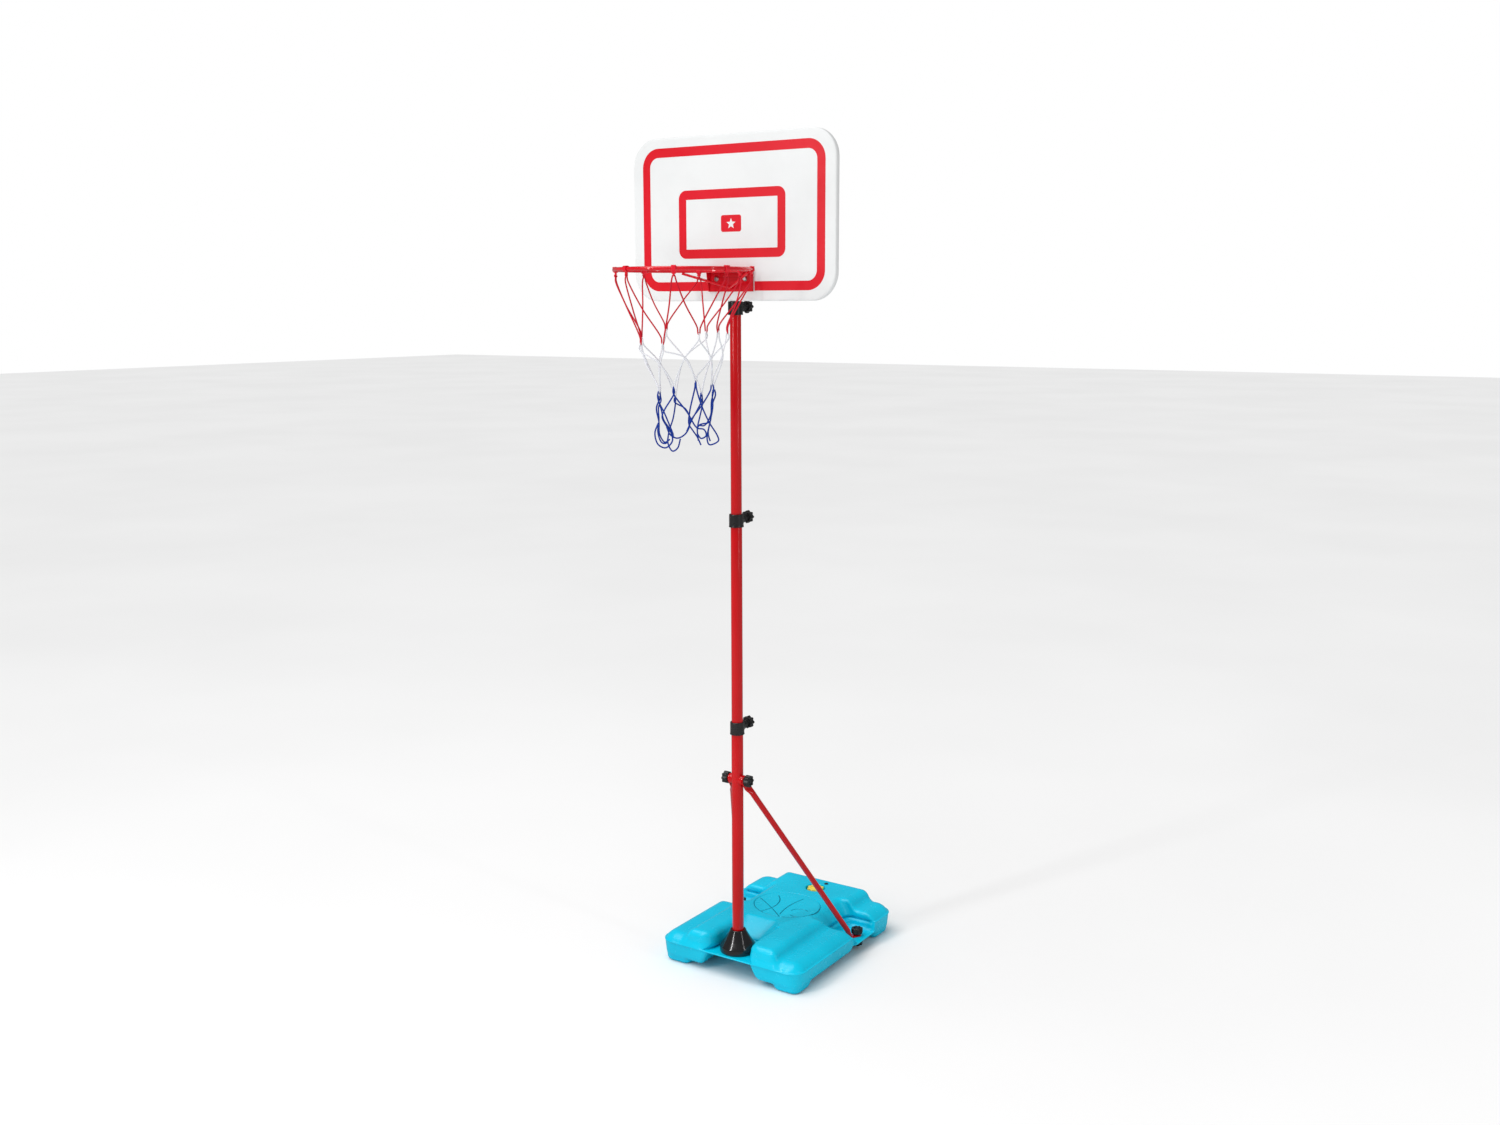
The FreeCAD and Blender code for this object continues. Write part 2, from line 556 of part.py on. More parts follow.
def pieces():
    yield "base_tank", base_tank()
    yield "filler_cap", filler_cap()
    yield "cap_seal", tube(16.0, 13.0, CAP_XY + Z * (PLATEAU_Z - 9), Z, 1.5)
    vent = joined([
        cylinder(3.2 - FIT, VENT_XY + Z * (PLATEAU_Z - 8), Z, 8),
        Part.makeCone(5.0, 3.5, 2.0, VENT_XY + Z * PLATEAU_Z, Z),
    ])
    yield "vent_plug", vent
    yield "foot_cone", foot_cone()
    yield "foot_plug", foot_plug()
    yield "foot_bolt", foot_bolt()
    yield "foot_washer", foot_washer()
    yield "lower_tube", tube(LOWER_R, LOWER_R - TUBE_WALL, Z * WEB_TOP, Z, LOWER_COLLAR_Z + SEAT_H - WEB_TOP)
    for name, r, z0, z1 in (
        ("middle_tube", MIDDLE_R, MIDDLE_BOTTOM, MIDDLE_COLLAR_Z + SEAT_H),
        ("top_tube", TOP_R, TOP_BOTTOM, TOP_COLLAR_Z + SEAT_H),
        ("board_tube", BOARD_TUBE_R, BOARD_TUBE_BOTTOM, BOARD_TUBE_TOP),
    ):
        section = tube(r, r - TUBE_WALL, Z * z0, Z, z1 - z0)
        if name == "board_tube":
            section = section.cut(cylinder(2.0, V(0, 0, BOLT_Z + 24), Y, 40))
        yield name, section
    plug = joined([
        cylinder(BOARD_TUBE_R - TUBE_WALL, Z * (BOARD_TUBE_TOP - 10), Z, 10),
        cylinder(BOARD_TUBE_R, Z * BOARD_TUBE_TOP, Z, 3),
    ])
    yield "tube_plug", plug
    for name, z0, outer_r, inner_r in (
        ("lower", LOWER_COLLAR_Z, LOWER_R, MIDDLE_R),
        ("middle", MIDDLE_COLLAR_Z, MIDDLE_R, TOP_R),
        ("top", TOP_COLLAR_Z, TOP_R, BOARD_TUBE_R),
    ):
        yield name + "_collar", collar(z0, outer_r, inner_r)
        yield name + "_collar_nut", collar_nut(z0)
        yield name + "_collar_knob", collar_knob(z0, inner_r)
    yield "brace_pads", Part.makeCompound(both_sides(brace_pad()))
    for name, shape in (
        ("brace", brace()),
        ("brace_knob", brace_knob()),
        ("base_knob", base_knob()),
        ("base_nut", base_nut()),
    ):
        yield "right_" + name, shape
        yield "left_" + name, mirrored(shape)
    yield "backboard", backboard()
    yield "board_clamp", board_clamp()
    yield "clamp_screw", clamp_screw()
    yield "rim_bracket", rim_bracket()
    yield "rim_ring", rim_solid()
    yield "rim_strut", rim_strut()
    yield "rim_bolts", rim_bolts()
    yield "rim_nuts", rim_nuts()
    yield "net_clips", net_clips()
    yield "net", net()


os.makedirs("parts", exist_ok=True)
for name, shape in pieces():
    shape = shape.copy()
    shape.translate(V(0, Y_SHIFT, 0))
    if not shape.isValid():
        print("invalid:", name)
    box = shape.BoundBox
    print("%-20s solids %2d  volume %10.1f  x %.1f..%.1f  y %.1f..%.1f  z %.1f..%.1f" % (
        name, len(shape.Solids), shape.Volume, box.XMin, box.XMax, box.YMin, box.YMax, box.ZMin, box.ZMax))
    shape.exportStep("parts/" + name + ".step")
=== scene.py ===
import math

import bpy
import numpy as np
from mathutils import Matrix, Vector


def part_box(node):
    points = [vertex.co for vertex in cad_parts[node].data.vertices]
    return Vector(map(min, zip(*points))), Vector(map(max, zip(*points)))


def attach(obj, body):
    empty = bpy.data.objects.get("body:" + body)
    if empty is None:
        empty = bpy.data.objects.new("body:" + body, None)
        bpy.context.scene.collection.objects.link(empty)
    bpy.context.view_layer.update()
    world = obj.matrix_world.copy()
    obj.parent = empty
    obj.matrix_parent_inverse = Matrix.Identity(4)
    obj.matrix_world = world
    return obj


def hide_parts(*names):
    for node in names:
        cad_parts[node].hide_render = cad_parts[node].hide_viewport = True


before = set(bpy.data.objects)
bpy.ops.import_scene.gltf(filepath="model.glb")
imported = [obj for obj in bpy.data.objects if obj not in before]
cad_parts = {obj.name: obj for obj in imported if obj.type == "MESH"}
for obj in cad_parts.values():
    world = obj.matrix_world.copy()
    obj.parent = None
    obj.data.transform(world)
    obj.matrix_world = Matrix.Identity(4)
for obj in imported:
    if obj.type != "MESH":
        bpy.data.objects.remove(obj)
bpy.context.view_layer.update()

MM = 0.001
TUBE_LO, TUBE_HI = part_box("lower_tube")
POLE = Vector(((TUBE_LO.x + TUBE_HI.x) / 2, (TUBE_LO.y + TUBE_HI.y) / 2, 0))
RNG = np.random.default_rng(11)


# --- meshes --------------------------------------------------------------------------------------
# Shapes are written in millimetres from the pole's axis and the floor, and placed in metres.

def obj_from(name, verts, faces, material, smooth=40, at_pole=True, uvs=None):
    pts = np.asarray(verts, float) * MM
    if at_pole:
        pts = pts + np.array(POLE)
    mesh = bpy.data.meshes.new(name)
    if isinstance(faces, np.ndarray):
        n, k = faces.shape
        mesh.vertices.add(len(pts))
        mesh.vertices.foreach_set("co", pts.astype(np.float32).ravel())
        mesh.loops.add(n * k)
        mesh.loops.foreach_set("vertex_index", faces.astype(np.int32).ravel())
        mesh.polygons.add(n)
        mesh.polygons.foreach_set("loop_start", np.arange(0, n * k, k, dtype=np.int32))
    else:
        mesh.from_pydata(pts.tolist(), [], [list(map(int, f)) for f in faces])
    mesh.update(calc_edges=True)
    mesh.validate()
    if uvs is not None:
        layer = mesh.uv_layers.new(name="UVMap")
        index = np.zeros(len(mesh.loops), np.int32)
        mesh.loops.foreach_get("vertex_index", index)
        layer.data.foreach_set("uv", np.asarray(uvs, np.float32)[index].ravel())
    mesh.shade_smooth()
    if smooth < 180:
        mesh.set_sharp_from_angle(angle=math.radians(smooth))
    mesh.materials.append(material)
    obj = bpy.data.objects.new(name, mesh)
    bpy.context.scene.collection.objects.link(obj)
    return obj


def settle(obj, body, slot, *nodes):
    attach(obj, body)
    if nodes:
        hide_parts(*nodes)
    return obj


def skin(field, lo, hi, step):
    """Surface nets: points and quads of field = 0, then one step onto the surface itself."""
    step = np.array(step, float) * np.ones(3)
    axes = [np.arange(lo[i] - step[i], hi[i] + 1.9 * step[i], step[i]) for i in range(3)]
    gx, gy, gz = np.meshgrid(*axes, indexing="ij", sparse=True)
    f = np.broadcast_to(field(gx, gy, gz), [len(a) for a in axes]).astype(np.float32)
    cells = np.array(f.shape) - 1
    total = np.zeros((*cells, 3), np.float32)
    count = np.zeros(cells, np.int16)
    quads = []
    for axis in range(3):
        a = np.moveaxis(f, axis, 0)
        c0, c1 = a[:-1], a[1:]
        cut = (c0 < 0) != (c1 < 0)
        t = np.where(cut, c0 / np.where(cut, c0 - c1, 1), 0)
        others = [i for i in range(3) if i != axis]
        for du in (0, 1):
            for dv in (0, 1):
                u = slice(du, du + cells[others[0]])
                v = slice(dv, dv + cells[others[1]])
                m = np.moveaxis(cut[:, u, v], 0, axis)
                count += m
                offsets = [None] * 3
                offsets[axis] = np.moveaxis(t[:, u, v], 0, axis)
                offsets[others[0]] = du
                offsets[others[1]] = dv
                for i in range(3):
                    total[..., i] += np.where(m, offsets[i], 0)
        w, u, v = np.nonzero(cut[:, 1:-1, 1:-1])
        quads.append((axis, others, w, u + 1, v + 1, c0[w, u + 1, v + 1] < 0))
    used = np.nonzero(count)
    index = np.full(cells, -1, np.int64)
    index[used] = np.arange(len(used[0]))
    local = total[used] / count[used][:, None]
    pts = np.stack([axes[i][0] + (np.array(used[i]) + local[:, i]) * step[i] for i in range(3)], 1)
    faces = []
    for axis, others, w, u, v, out in quads:
        corner = []
        for du, dv in ((-1, -1), (0, -1), (0, 0), (-1, 0)):
            at = [None] * 3
            at[axis], at[others[0]], at[others[1]] = w, u + du, v + dv
            corner.append(index[at[0], at[1], at[2]])
        q = np.stack(corner, 1)
        flip = out if axis != 1 else ~out
        q[~flip] = q[~flip][:, ::-1]
        faces.append(q)
    h = float(step.min()) * 0.25
    for _ in range(2):
        x, y, z = pts.T
        value = field(x, y, z)
        g = np.stack([
            field(x + h, y, z) - field(x - h, y, z),
            field(x, y + h, z) - field(x, y - h, z),
            field(x, y, z + h) - field(x, y, z - h),
        ], 1) / (2 * h)
        move = value[:, None] * g / np.maximum((g * g).sum(1), 0.2)[:, None]
        reach = float(step.min()) * 0.6
        pts = pts - np.clip(move, -reach, reach)
    return pts, np.concatenate(faces)


def smin(a, b, k):
    """Union of two fields with a fillet of radius k."""
    u, v = np.maximum(k - a, 0), np.maximum(k - b, 0)
    return np.maximum(k, np.minimum(a, b)) - np.sqrt(u * u + v * v)


def smax(a, b, k):
    """Where both fields overlap, with the edge rounded to radius k."""
    return -smin(-a, -b, k)


def plan_box(x, y, x0, x1, y0, y1, r):
    qx = np.abs(x - (x0 + x1) / 2) - (x1 - x0) / 2 + r
    qy = np.abs(y - (y0 + y1) / 2) - (y1 - y0) / 2 + r
    return np.hypot(np.maximum(qx, 0), np.maximum(qy, 0)) + np.minimum(np.maximum(qx, qy), 0) - r


def round_corners(points, radius, steps=4):
    """Closed 2-D outline with each corner replaced by a short curve."""
    out = []
    n = len(points)
    for i in range(n):
        p = np.array(points[i], float)
        a, b = np.array(points[i - 1], float) - p, np.array(points[(i + 1) % n], float) - p
        la, lb = np.linalg.norm(a), np.linalg.norm(b)
        d = min(radius, la * 0.45, lb * 0.45)
        s, e = p + a / la * d, p + b / lb * d
        for k in range(steps + 1):
            t = k / steps
            out.append((1 - t) ** 2 * s + 2 * t * (1 - t) * p + t * t * e)
    return out


def lathe(profile, segments=64):
    """Closed (radius, height) outline turned about Z."""
    n = len(profile)
    verts, faces = [], []
    for i in range(segments):
        a = 2 * math.pi * i / segments
        verts += [(r * math.cos(a), r * math.sin(a), z) for r, z in profile]
        j = (i + 1) % segments
        faces += [(i * n + k, j * n + k, j * n + (k + 1) % n, i * n + (k + 1) % n) for k in range(n)]
    return np.array(verts), np.array(faces)


def rings_to_faces(count, n, closed_ends=True):
    faces = []
    for i in range(count - 1):
        for k in range(n):
            faces.append((i * n + k, i * n + (k + 1) % n, (i + 1) * n + (k + 1) % n, (i + 1) * n + k))
    if closed_ends:
        faces.append(tuple(range(n))[::-1])
        faces.append(tuple((count - 1) * n + k for k in range(n)))
    return faces


def rounded_rect(x0, x1, z0, z1, r, steps=12):
    pts = []
    corners = ((x1 - r, z1 - r, 0), (x0 + r, z1 - r, 90), (x0 + r, z0 + r, 180), (x1 - r, z0 + r, 270))
    for cx, cz, start in corners:
        for k in range(steps + 1):
            a = math.radians(start + 90 * k / steps)
            pts.append((cx + r * math.cos(a), cz + r * math.sin(a)))
    return pts


# --- materials -----------------------------------------------------------------------------------

class Nodes:
    """Small helper round one material's node tree."""

    def __init__(self, name):
        self.mat = bpy.data.materials.new(name)
        self.mat.use_nodes = True
        self.tree = self.mat.node_tree
        self.bsdf = self.tree.nodes["Principled BSDF"]
        self.coord = self.tree.nodes.new("ShaderNodeTexCoord")

    def add(self, kind, **values):
        node = self.tree.nodes.new("ShaderNode" + kind)
        for key, value in values.items():
            if key in node.inputs:
                node.inputs[key].default_value = value
            else:
                setattr(node, key, value)
        return node

    def link(self, a, b):
        self.tree.links.new(a, b)

    def noise(self, scale, detail=3.0, rough=0.5, space="Object", stretch=None):
        node = self.add("TexNoise")
        node.inputs["Scale"].default_value = scale
        node.inputs["Detail"].default_value = detail
        node.inputs["Roughness"].default_value = rough
        source = self.coord.outputs[space]
        if stretch:
            mapping = self.add("Mapping")
            mapping.inputs["Scale"].default_value = stretch
            self.link(source, mapping.inputs["Vector"])
            source = mapping.outputs["Vector"]
        self.link(source, node.inputs["Vector"])
        return node.outputs["Fac"]

    def cells(self, scale, feature="SMOOTH_F1"):
        node = self.add("TexVoronoi", feature=feature)
        node.inputs["Scale"].default_value = scale
        self.link(self.coord.outputs["Object"], node.inputs["Vector"])
        return node.outputs["Distance"]

    def ramp(self, source, low, high, a, b):
        """Maps source from low..high to a..b, numbers or colours."""
        if isinstance(a, (int, float)):
            node = self.add("MapRange", clamp=True)
            for key, value in (("From Min", low), ("From Max", high), ("To Min", a), ("To Max", b)):
                node.inputs[key].default_value = value
            self.link(source, node.inputs["Value"])
            return node.outputs["Result"]
        node = self.add("ValToRGB")
        node.color_ramp.elements[0].position = low
        node.color_ramp.elements[0].color = (*a, 1)
        node.color_ramp.elements[1].position = high
        node.color_ramp.elements[1].color = (*b, 1)
        self.link(source, node.inputs["Fac"])
        return node.outputs["Color"]

    def mix(self, fac, a, b):
        node = self.add("Mix", data_type="RGBA")
        for socket, value in ((node.inputs["Factor"], fac), (node.inputs[6], a), (node.inputs[7], b)):
            if hasattr(value, "is_linked") or hasattr(value, "links"):
                self.link(value, socket)
            elif isinstance(value, tuple):
                socket.default_value = (*value, 1)
            else:
                socket.default_value = value
        return node.outputs[2]

    def math(self, operation, a, b=0.0):
        node = self.add("Math", operation=operation)
        for i, value in enumerate((a, b)):
            if isinstance(value, (int, float)):
                node.inputs[i].default_value = value
            else:
                self.link(value, node.inputs[i])
        return node.outputs["Value"]

    def bump(self, height, distance, strength=1.0, normal=None):
        node = self.add("Bump")
        node.inputs["Strength"].default_value = strength
        node.inputs["Distance"].default_value = distance
        self.link(height, node.inputs["Height"])
        if normal is not None:
            self.link(normal, node.inputs["Normal"])
        return node.outputs["Normal"]

    def done(self, color=None, rough=None, normal=None, **constants):
        for socket, value in (("Base Color", color), ("Roughness", rough), ("Normal", normal)):
            if value is not None:
                self.link(value, self.bsdf.inputs[socket])
        for key, value in constants.items():
            self.bsdf.inputs[key.replace("_", " ")].default_value = value
        return self.mat


def moulded(name, low, high, rough=(0.3, 0.4), pebble=1.5, depth=0.05, coat=0.0, specular=0.22):
    """Moulded plastic: slight colour drift, pebbled skin, faint scuffs."""
    n = Nodes(name)
    drift = n.noise(9, 4)
    color = n.ramp(drift, 0.35, 0.65, low, high)
    scuff = n.noise(60, 6, 0.65)
    roughness = n.ramp(scuff, 0.35, 0.7, rough[0], rough[1])
    grain = n.cells(1000 / pebble)
    fine = n.noise(1600 / pebble, 2)
    coarse = n.bump(grain, depth * MM, 0.9)
    normal = n.bump(fine, depth * 0.5 * MM, 0.6, coarse)
    return n.done(color, roughness, normal,
                  Coat_Weight=coat, Coat_Roughness=0.12, Specular_IOR_Level=specular)


def powder_coat(name, low, high, rough=(0.16, 0.26)):
    """Gloss powder coat: orange peel and faint vertical rub marks."""
    n = Nodes(name)
    drift = n.noise(7, 3)
    color = n.ramp(drift, 0.3, 0.7, low, high)
    rub = n.noise(240, 5, 0.6, stretch=(1, 1, 0.04))
    roughness = n.ramp(rub, 0.3, 0.75, rough[0], rough[1])
    peel = n.noise(650, 2)
    normal = n.bump(peel, 0.03 * MM, 0.5)
    return n.done(color, roughness, normal, Coat_Weight=0.75, Coat_Roughness=0.05, Specular_IOR_Level=0.2)


def metal(name, color=(0.62, 0.63, 0.64), rough=(0.26, 0.46)):
    """Zinc-plated steel with faint turning marks and cloudy passivation."""
    n = Nodes(name)
    cloud = n.noise(220, 5, 0.6)
    tint = n.ramp(cloud, 0.3, 0.7, tuple(c * 0.82 for c in color), color)
    roughness = n.ramp(cloud, 0.3, 0.7, rough[0], rough[1])
    normal = n.bump(n.noise(1500, 3), 0.02 * MM, 0.6)
    return n.done(tint, roughness, normal, Metallic=1.0)


def braided(name, dark, light):
    """Braided cord: two crossing sets of strands along the cord's own coordinates, darker between the strands
    as painted shade.
    """
    n = Nodes(name)
    split = n.add("SeparateXYZ")
    n.link(n.coord.outputs["UV"], split.inputs["Vector"])
    u, v = split.outputs["X"], split.outputs["Y"]
    waves = []
    for sign in (1, -1):
        phase = n.math("ADD", n.math("MULTIPLY", u, 6 * 2 * math.pi * sign), n.math("MULTIPLY", v, 1900.0))
        waves.append(n.math("SINE", phase))
    weave = n.math("MAXIMUM", waves[0], waves[1])
    fuzz = n.noise(2600, 3)
    # Hollows of the weave take the dark colour: painted shade between the strands.
    color = n.mix(n.ramp(weave, -0.3, 0.9, 0.0, 1.0), dark, light)
    normal = n.bump(fuzz, 0.05 * MM, 0.4, n.bump(weave, 0.12 * MM, 0.8))
    rough = n.ramp(fuzz, 0.3, 0.7, 0.7, 0.9)
    return n.done(color, rough, normal, Sheen_Weight=0.08, Sheen_Roughness=0.5, Specular_IOR_Level=0.2)


TANK = moulded("tank_plastic", (0.0, 0.53, 0.75), (0.0, 0.60, 0.84), (0.2, 0.3), 2.2, 0.22, specular=0.35)
# Darker tank plastic: painted shade in the ball's grooves and in the gap round its panel.
TANK_GROOVE_SHADE = moulded("tank_groove_shade", (0.0, 0.16, 0.25), (0.0, 0.2, 0.3), (0.4, 0.5), 1.6, 0.03)
CAP = moulded("cap_plastic", (0.80, 0.66, 0.10), (0.88, 0.75, 0.16), (0.35, 0.5), 1.2, 0.03)
BLACK = moulded("black_plastic", (0.010, 0.010, 0.011), (0.020, 0.020, 0.021), (0.22, 0.36), 1.1, 0.02,
                specular=0.5)
CONE = moulded("cone_plastic", (0.008, 0.008, 0.009), (0.014, 0.014, 0.015), (0.12, 0.2), 2.0, 0.012,
               coat=0.4, specular=0.5)
DARK = moulded("dark_plastic", (0.02, 0.03, 0.035), (0.035, 0.045, 0.05), (0.4, 0.6), 1.0, 0.03)
BOARD = moulded("board_plastic", (0.77, 0.785, 0.785), (0.81, 0.825, 0.825), (0.32, 0.45), 1.3, 0.03)
BAND = moulded("band_red", (0.66, 0.002, 0.012), (0.72, 0.004, 0.018), (0.3, 0.42), 1.3, 0.02)
STAR = moulded("star_white", (0.77, 0.785, 0.785), (0.81, 0.825, 0.825), (0.3, 0.45), 1.3, 0.02)
CLIP = moulded("clip_plastic", (0.70, 0.008, 0.022), (0.80, 0.014, 0.035), (0.25, 0.4), 0.9, 0.02)
RED = powder_coat("painted_red", (0.52, 0.0, 0.002), (0.60, 0.0, 0.004))
RIM_RED = powder_coat("rim_red", (0.62, 0.002, 0.010), (0.72, 0.004, 0.016))
ZINC = metal("zinc")
CORD_RED = braided("cord_red", (0.42, 0.002, 0.010), (0.70, 0.008, 0.028))
CORD_WHITE = braided("cord_white", (0.62, 0.64, 0.70), (0.86, 0.87, 0.90))
CORD_BLUE = braided("cord_blue", (0.001, 0.018, 0.20), (0.003, 0.045, 0.38))
RUBBER = moulded("rubber", (0.02, 0.02, 0.02), (0.03, 0.03, 0.03), (0.6, 0.8), 0.8, 0.03)


# --- base tank -----------------------------------------------------------------------------------

FLANGE_Z = 50                 # middle of the parting flange
SHOULDER_Z = 69
PLATEAU_Z = 90
POCKET_Z = 30                 # floor of the side pockets
BELLY_Z = 11
PLATEAU_X = 5                 # the raised middle sits slightly off the base's centre line
BALL_X, BALL_Y = 6, 199       # middle of the ball moulded into the plateau
BALL_R = (81, 71)
GROOVE_DEPTH = 1.5
CAP_X, CAP_Y = 8, 326
VENT_X, VENT_Y = 19, 359
BRACE_X, BRACE_Y = 163, 255   # brace foot in the right pocket
HOLE_R = 4.2


def tank_field(x, y, z):
    """Blow-moulded tank: shoulder and plateau over a belly with four feet, less the notch and pockets."""
    edge = plan_box(x, y, -184.5, 184.5, -45.5, 392.5, 34)
    rise, drop = np.maximum(z - FLANGE_Z, 0), np.maximum(FLANGE_Z - z, 0)
    ax = np.abs(x)
    crest = z - SHOULDER_Z + 0.00035 * (ax - 152) ** 2
    shoulder = smax(edge + 0.42 * rise, crest, 20)
    ramp = smax(edge + 0.16 * rise, np.abs(x - PLATEAU_X) - 123 + 0.45 * (z - 68), 12)
    plateau = smax(ramp, z - PLATEAU_Z, 13)
    upper = np.maximum(smin(shoulder, plateau, 11), FLANGE_Z - z)
    belly = smax(edge + 0.10 * drop, BELLY_Z - z, 13)
    foot = smax(plan_box(ax, y, 106, 182.5, -43, 34, 24) + 0.10 * drop, -z, 9)
    heel = smax(plan_box(ax, y, 106, 182.5, 308, 390, 24) + 0.10 * drop, -z, 9)
    lower = smin(smin(belly, foot, 5), heel, 5)
    lower = np.maximum(lower, z - FLANGE_Z)
    body = np.minimum(upper, lower)

    mouth = np.maximum(-6 - y, 0)
    half = 44 + 0.16 * rise + mouth * mouth / 95
    back = 50 + 1.25 * rise + 0.004 * rise * rise
    notch = plan_box(x, y, -half, half, -170, back, np.maximum(40 - 0.6 * rise, 17)) * 0.86
    notch = smax(notch, 51.5 - z, 7)
    under_half, under_back = 54 + 0.5 * drop, 60 + 0.7 * drop
    under = plan_box(x, y, -under_half, under_half, -170, under_back, 30) * 0.85
    under = smax(under, z - 48.5, 5)
    body = smax(smax(body, -notch, np.where(y > 80, 2.5, 14.0)), -under, 9)

    up = np.maximum(z - POCKET_Z, 0)
    lean = 0.10 * up + 0.007 * up * up
    fore = 0.8 * up
    pocket = plan_box(ax, y, 118 - lean, 320, 216 - fore, 296 + 0.08 * up, 16) * 0.8
    pocket = smax(pocket, POCKET_Z - z, 8)
    down = np.maximum(27 - z, 0)
    tuck = plan_box(ax, y, 116 - 0.6 * down, 320, 206 - 0.6 * down, 304 + 0.6 * down, 22) * 0.85
    tuck = smax(tuck, z - 27, 5)
    body = smax(smax(body, -pocket, 8), -tuck, 7)

    from_cap = np.hypot(x - CAP_X, y - CAP_Y)
    recess = smax(from_cap - 23.5, 81 - z, 2.5)
    neck = from_cap - 13.2
    vent = np.hypot(x - VENT_X, y - VENT_Y) - 3.4
    body = smax(body, -recess, 2.5)
    body = np.maximum(body, -np.maximum(neck, 60 - z))
    body = np.maximum(body, -np.maximum(vent, 70 - z))
    well = smax(np.hypot((x - BALL_X) / BALL_R[0], (y - BALL_Y) / BALL_R[1]) * 76 - 76, 87.5 - z, 0.5)
    return np.maximum(body, -well)


def flange_height(y):
    """Height of the parting line along the side: level, down the pocket's slope and up its rear wall."""
    down = np.clip((y - 193) / 27, 0, 1)
    up = np.clip((y - 296) / 6, 0, 1)
    ease = lambda t: t * t * (3 - 2 * t)
    return 50 - 21.5 * (ease(down) - ease(up))


def flange_field(x, y, z):
    edge = plan_box(x, y, -187, 187, -48, 395, 36)
    mid = np.where(np.abs(x) > 90, flange_height(y), 50.0)
    slope = np.gradient(flange_height(np.linspace(180, 310, 261)), 0.5)
    tilt = np.interp(y, np.linspace(180, 310, 261), np.sqrt(1 + slope * slope))
    plate = np.abs(z - mid) / np.minimum(tilt, 4.0) - 1.4
    inner = plan_box(x, y, -172, 172, -48 + 14, 395 - 14, 24)
    strip = smax(edge, plate, 1.0)
    web = np.maximum(plan_box(x, y, -70, 70, -60, 80, 20), edge)
    web = smax(web, np.abs(z - FLANGE_Z) - 1.4, 1.0)
    shelf = np.maximum(plan_box(np.abs(x), y, 110, 187, 205, 303, 10), edge)
    shelf = smax(shelf, np.abs(z - 28.5) - 1.4, 1.0)
    ring = np.maximum(strip, -inner)
    foot_hole = np.hypot(x, y) - HOLE_R
    brace_hole = np.hypot(np.abs(x) - BRACE_X, y - BRACE_Y) - HOLE_R
    body = np.minimum(np.minimum(ring, web), shelf)
    return np.maximum(np.maximum(body, -foot_hole), -brace_hole)


def whole_tank(x, y, z):
    body = smin(tank_field(x, y, z), flange_field(x, y, z), 1.2)
    holes = np.minimum(np.hypot(x, y), np.hypot(np.abs(x) - BRACE_X, y - BRACE_Y)) - HOLE_R
    return np.maximum(body, -np.maximum(holes, z - 54))


coarse = 2.0
pts, quads = skin(whole_tank, (-190, -51, -1), (190, 398, 93), (coarse, coarse, 1.3))
settle(obj_from("tank_skin", pts, quads, TANK, 180), "base", "tank_plastic", "base_tank")


def from_arc(x, y, a, b, c):
    """Distance in plan from the arc that runs from a through b to c."""
    (ax, ay), (bx, by), (cx, cy) = a, b, c
    d = 2 * (ax * (by - cy) + bx * (cy - ay) + cx * (ay - by))
    aa, bb, cc = ax * ax + ay * ay, bx * bx + by * by, cx * cx + cy * cy
    mid_x = (aa * (by - cy) + bb * (cy - ay) + cc * (ay - by)) / d
    mid_y = (aa * (cx - bx) + bb * (ax - cx) + cc * (bx - ax)) / d
    radius = math.hypot(ax - mid_x, ay - mid_y)
    chord = math.hypot(cx - ax, cy - ay)
    along = ((x - ax) * (cx - ax) + (y - ay) * (cy - ay)) / chord
    beyond = np.maximum(np.maximum(-along, along - chord), 0)
    return np.hypot(np.abs(np.hypot(x - mid_x, y - mid_y) - radius), beyond)


SEAMS = (
    ((-70, 200), (-18, 166), (30, 128)),
    ((-41, 236), (-14, 178), (-27, 134)),
    ((21, 248), (14, 190), (21, 143)),
    ((44, 152), (60, 150), (77, 168)),
)


def ball_panel():
    """The ball moulded into the plateau, with its outline and seams as grooves; their faces and the edge
    skirt take a darker material as painted shade.
    """
    nu, nv = 250, 220
    u, v = np.meshgrid(np.linspace(-1, 1, nu), np.linspace(-1, 1, nv), indexing="ij")
    # squeeze the square grid into a disc
    du, dv = u * np.sqrt(1 - v * v / 2), v * np.sqrt(1 - u * u / 2)
    x, y = BALL_X + du * BALL_R[0], BALL_Y + dv * BALL_R[1]
    depth = np.zeros_like(u)
    for seam in SEAMS:
        depth = np.maximum(depth, np.clip(1 - (from_arc(x, y, *seam) / 1.3) ** 2, 0, 1))
    outline = np.clip(1 - ((1 - np.hypot(du, dv)) * BALL_R[1] / 1.6) ** 2, 0, 1)
    depth = np.maximum(depth, outline)
    top = np.stack([x, y, PLATEAU_Z - GROOVE_DEPTH * depth], -1).reshape(-1, 3)
    grid = np.arange(nu * nv).reshape(nu, nv)
    faces = np.stack([grid[:-1, :-1], grid[1:, :-1], grid[1:, 1:], grid[:-1, 1:]], -1).reshape(-1, 4)
    loop = np.concatenate([grid[:-1, 0], grid[-1, :-1], grid[:0:-1, -1], grid[0, :0:-1]])
    low = top[loop] - (0, 0, 1.3)
    around = np.arange(len(loop))
    skirt = np.stack([loop, len(top) + around, len(top) + np.roll(around, -1), np.roll(loop, -1)], -1)
    # Groove faces and the whole edge skirt take the second, darker material: painted shade in the grooves and
    # the gap.
    shade_faces = np.concatenate([depth.reshape(-1)[faces].mean(1) > 0.3, np.ones(len(skirt), bool)])
    return np.concatenate([top, low]), np.concatenate([faces, skirt]), shade_faces


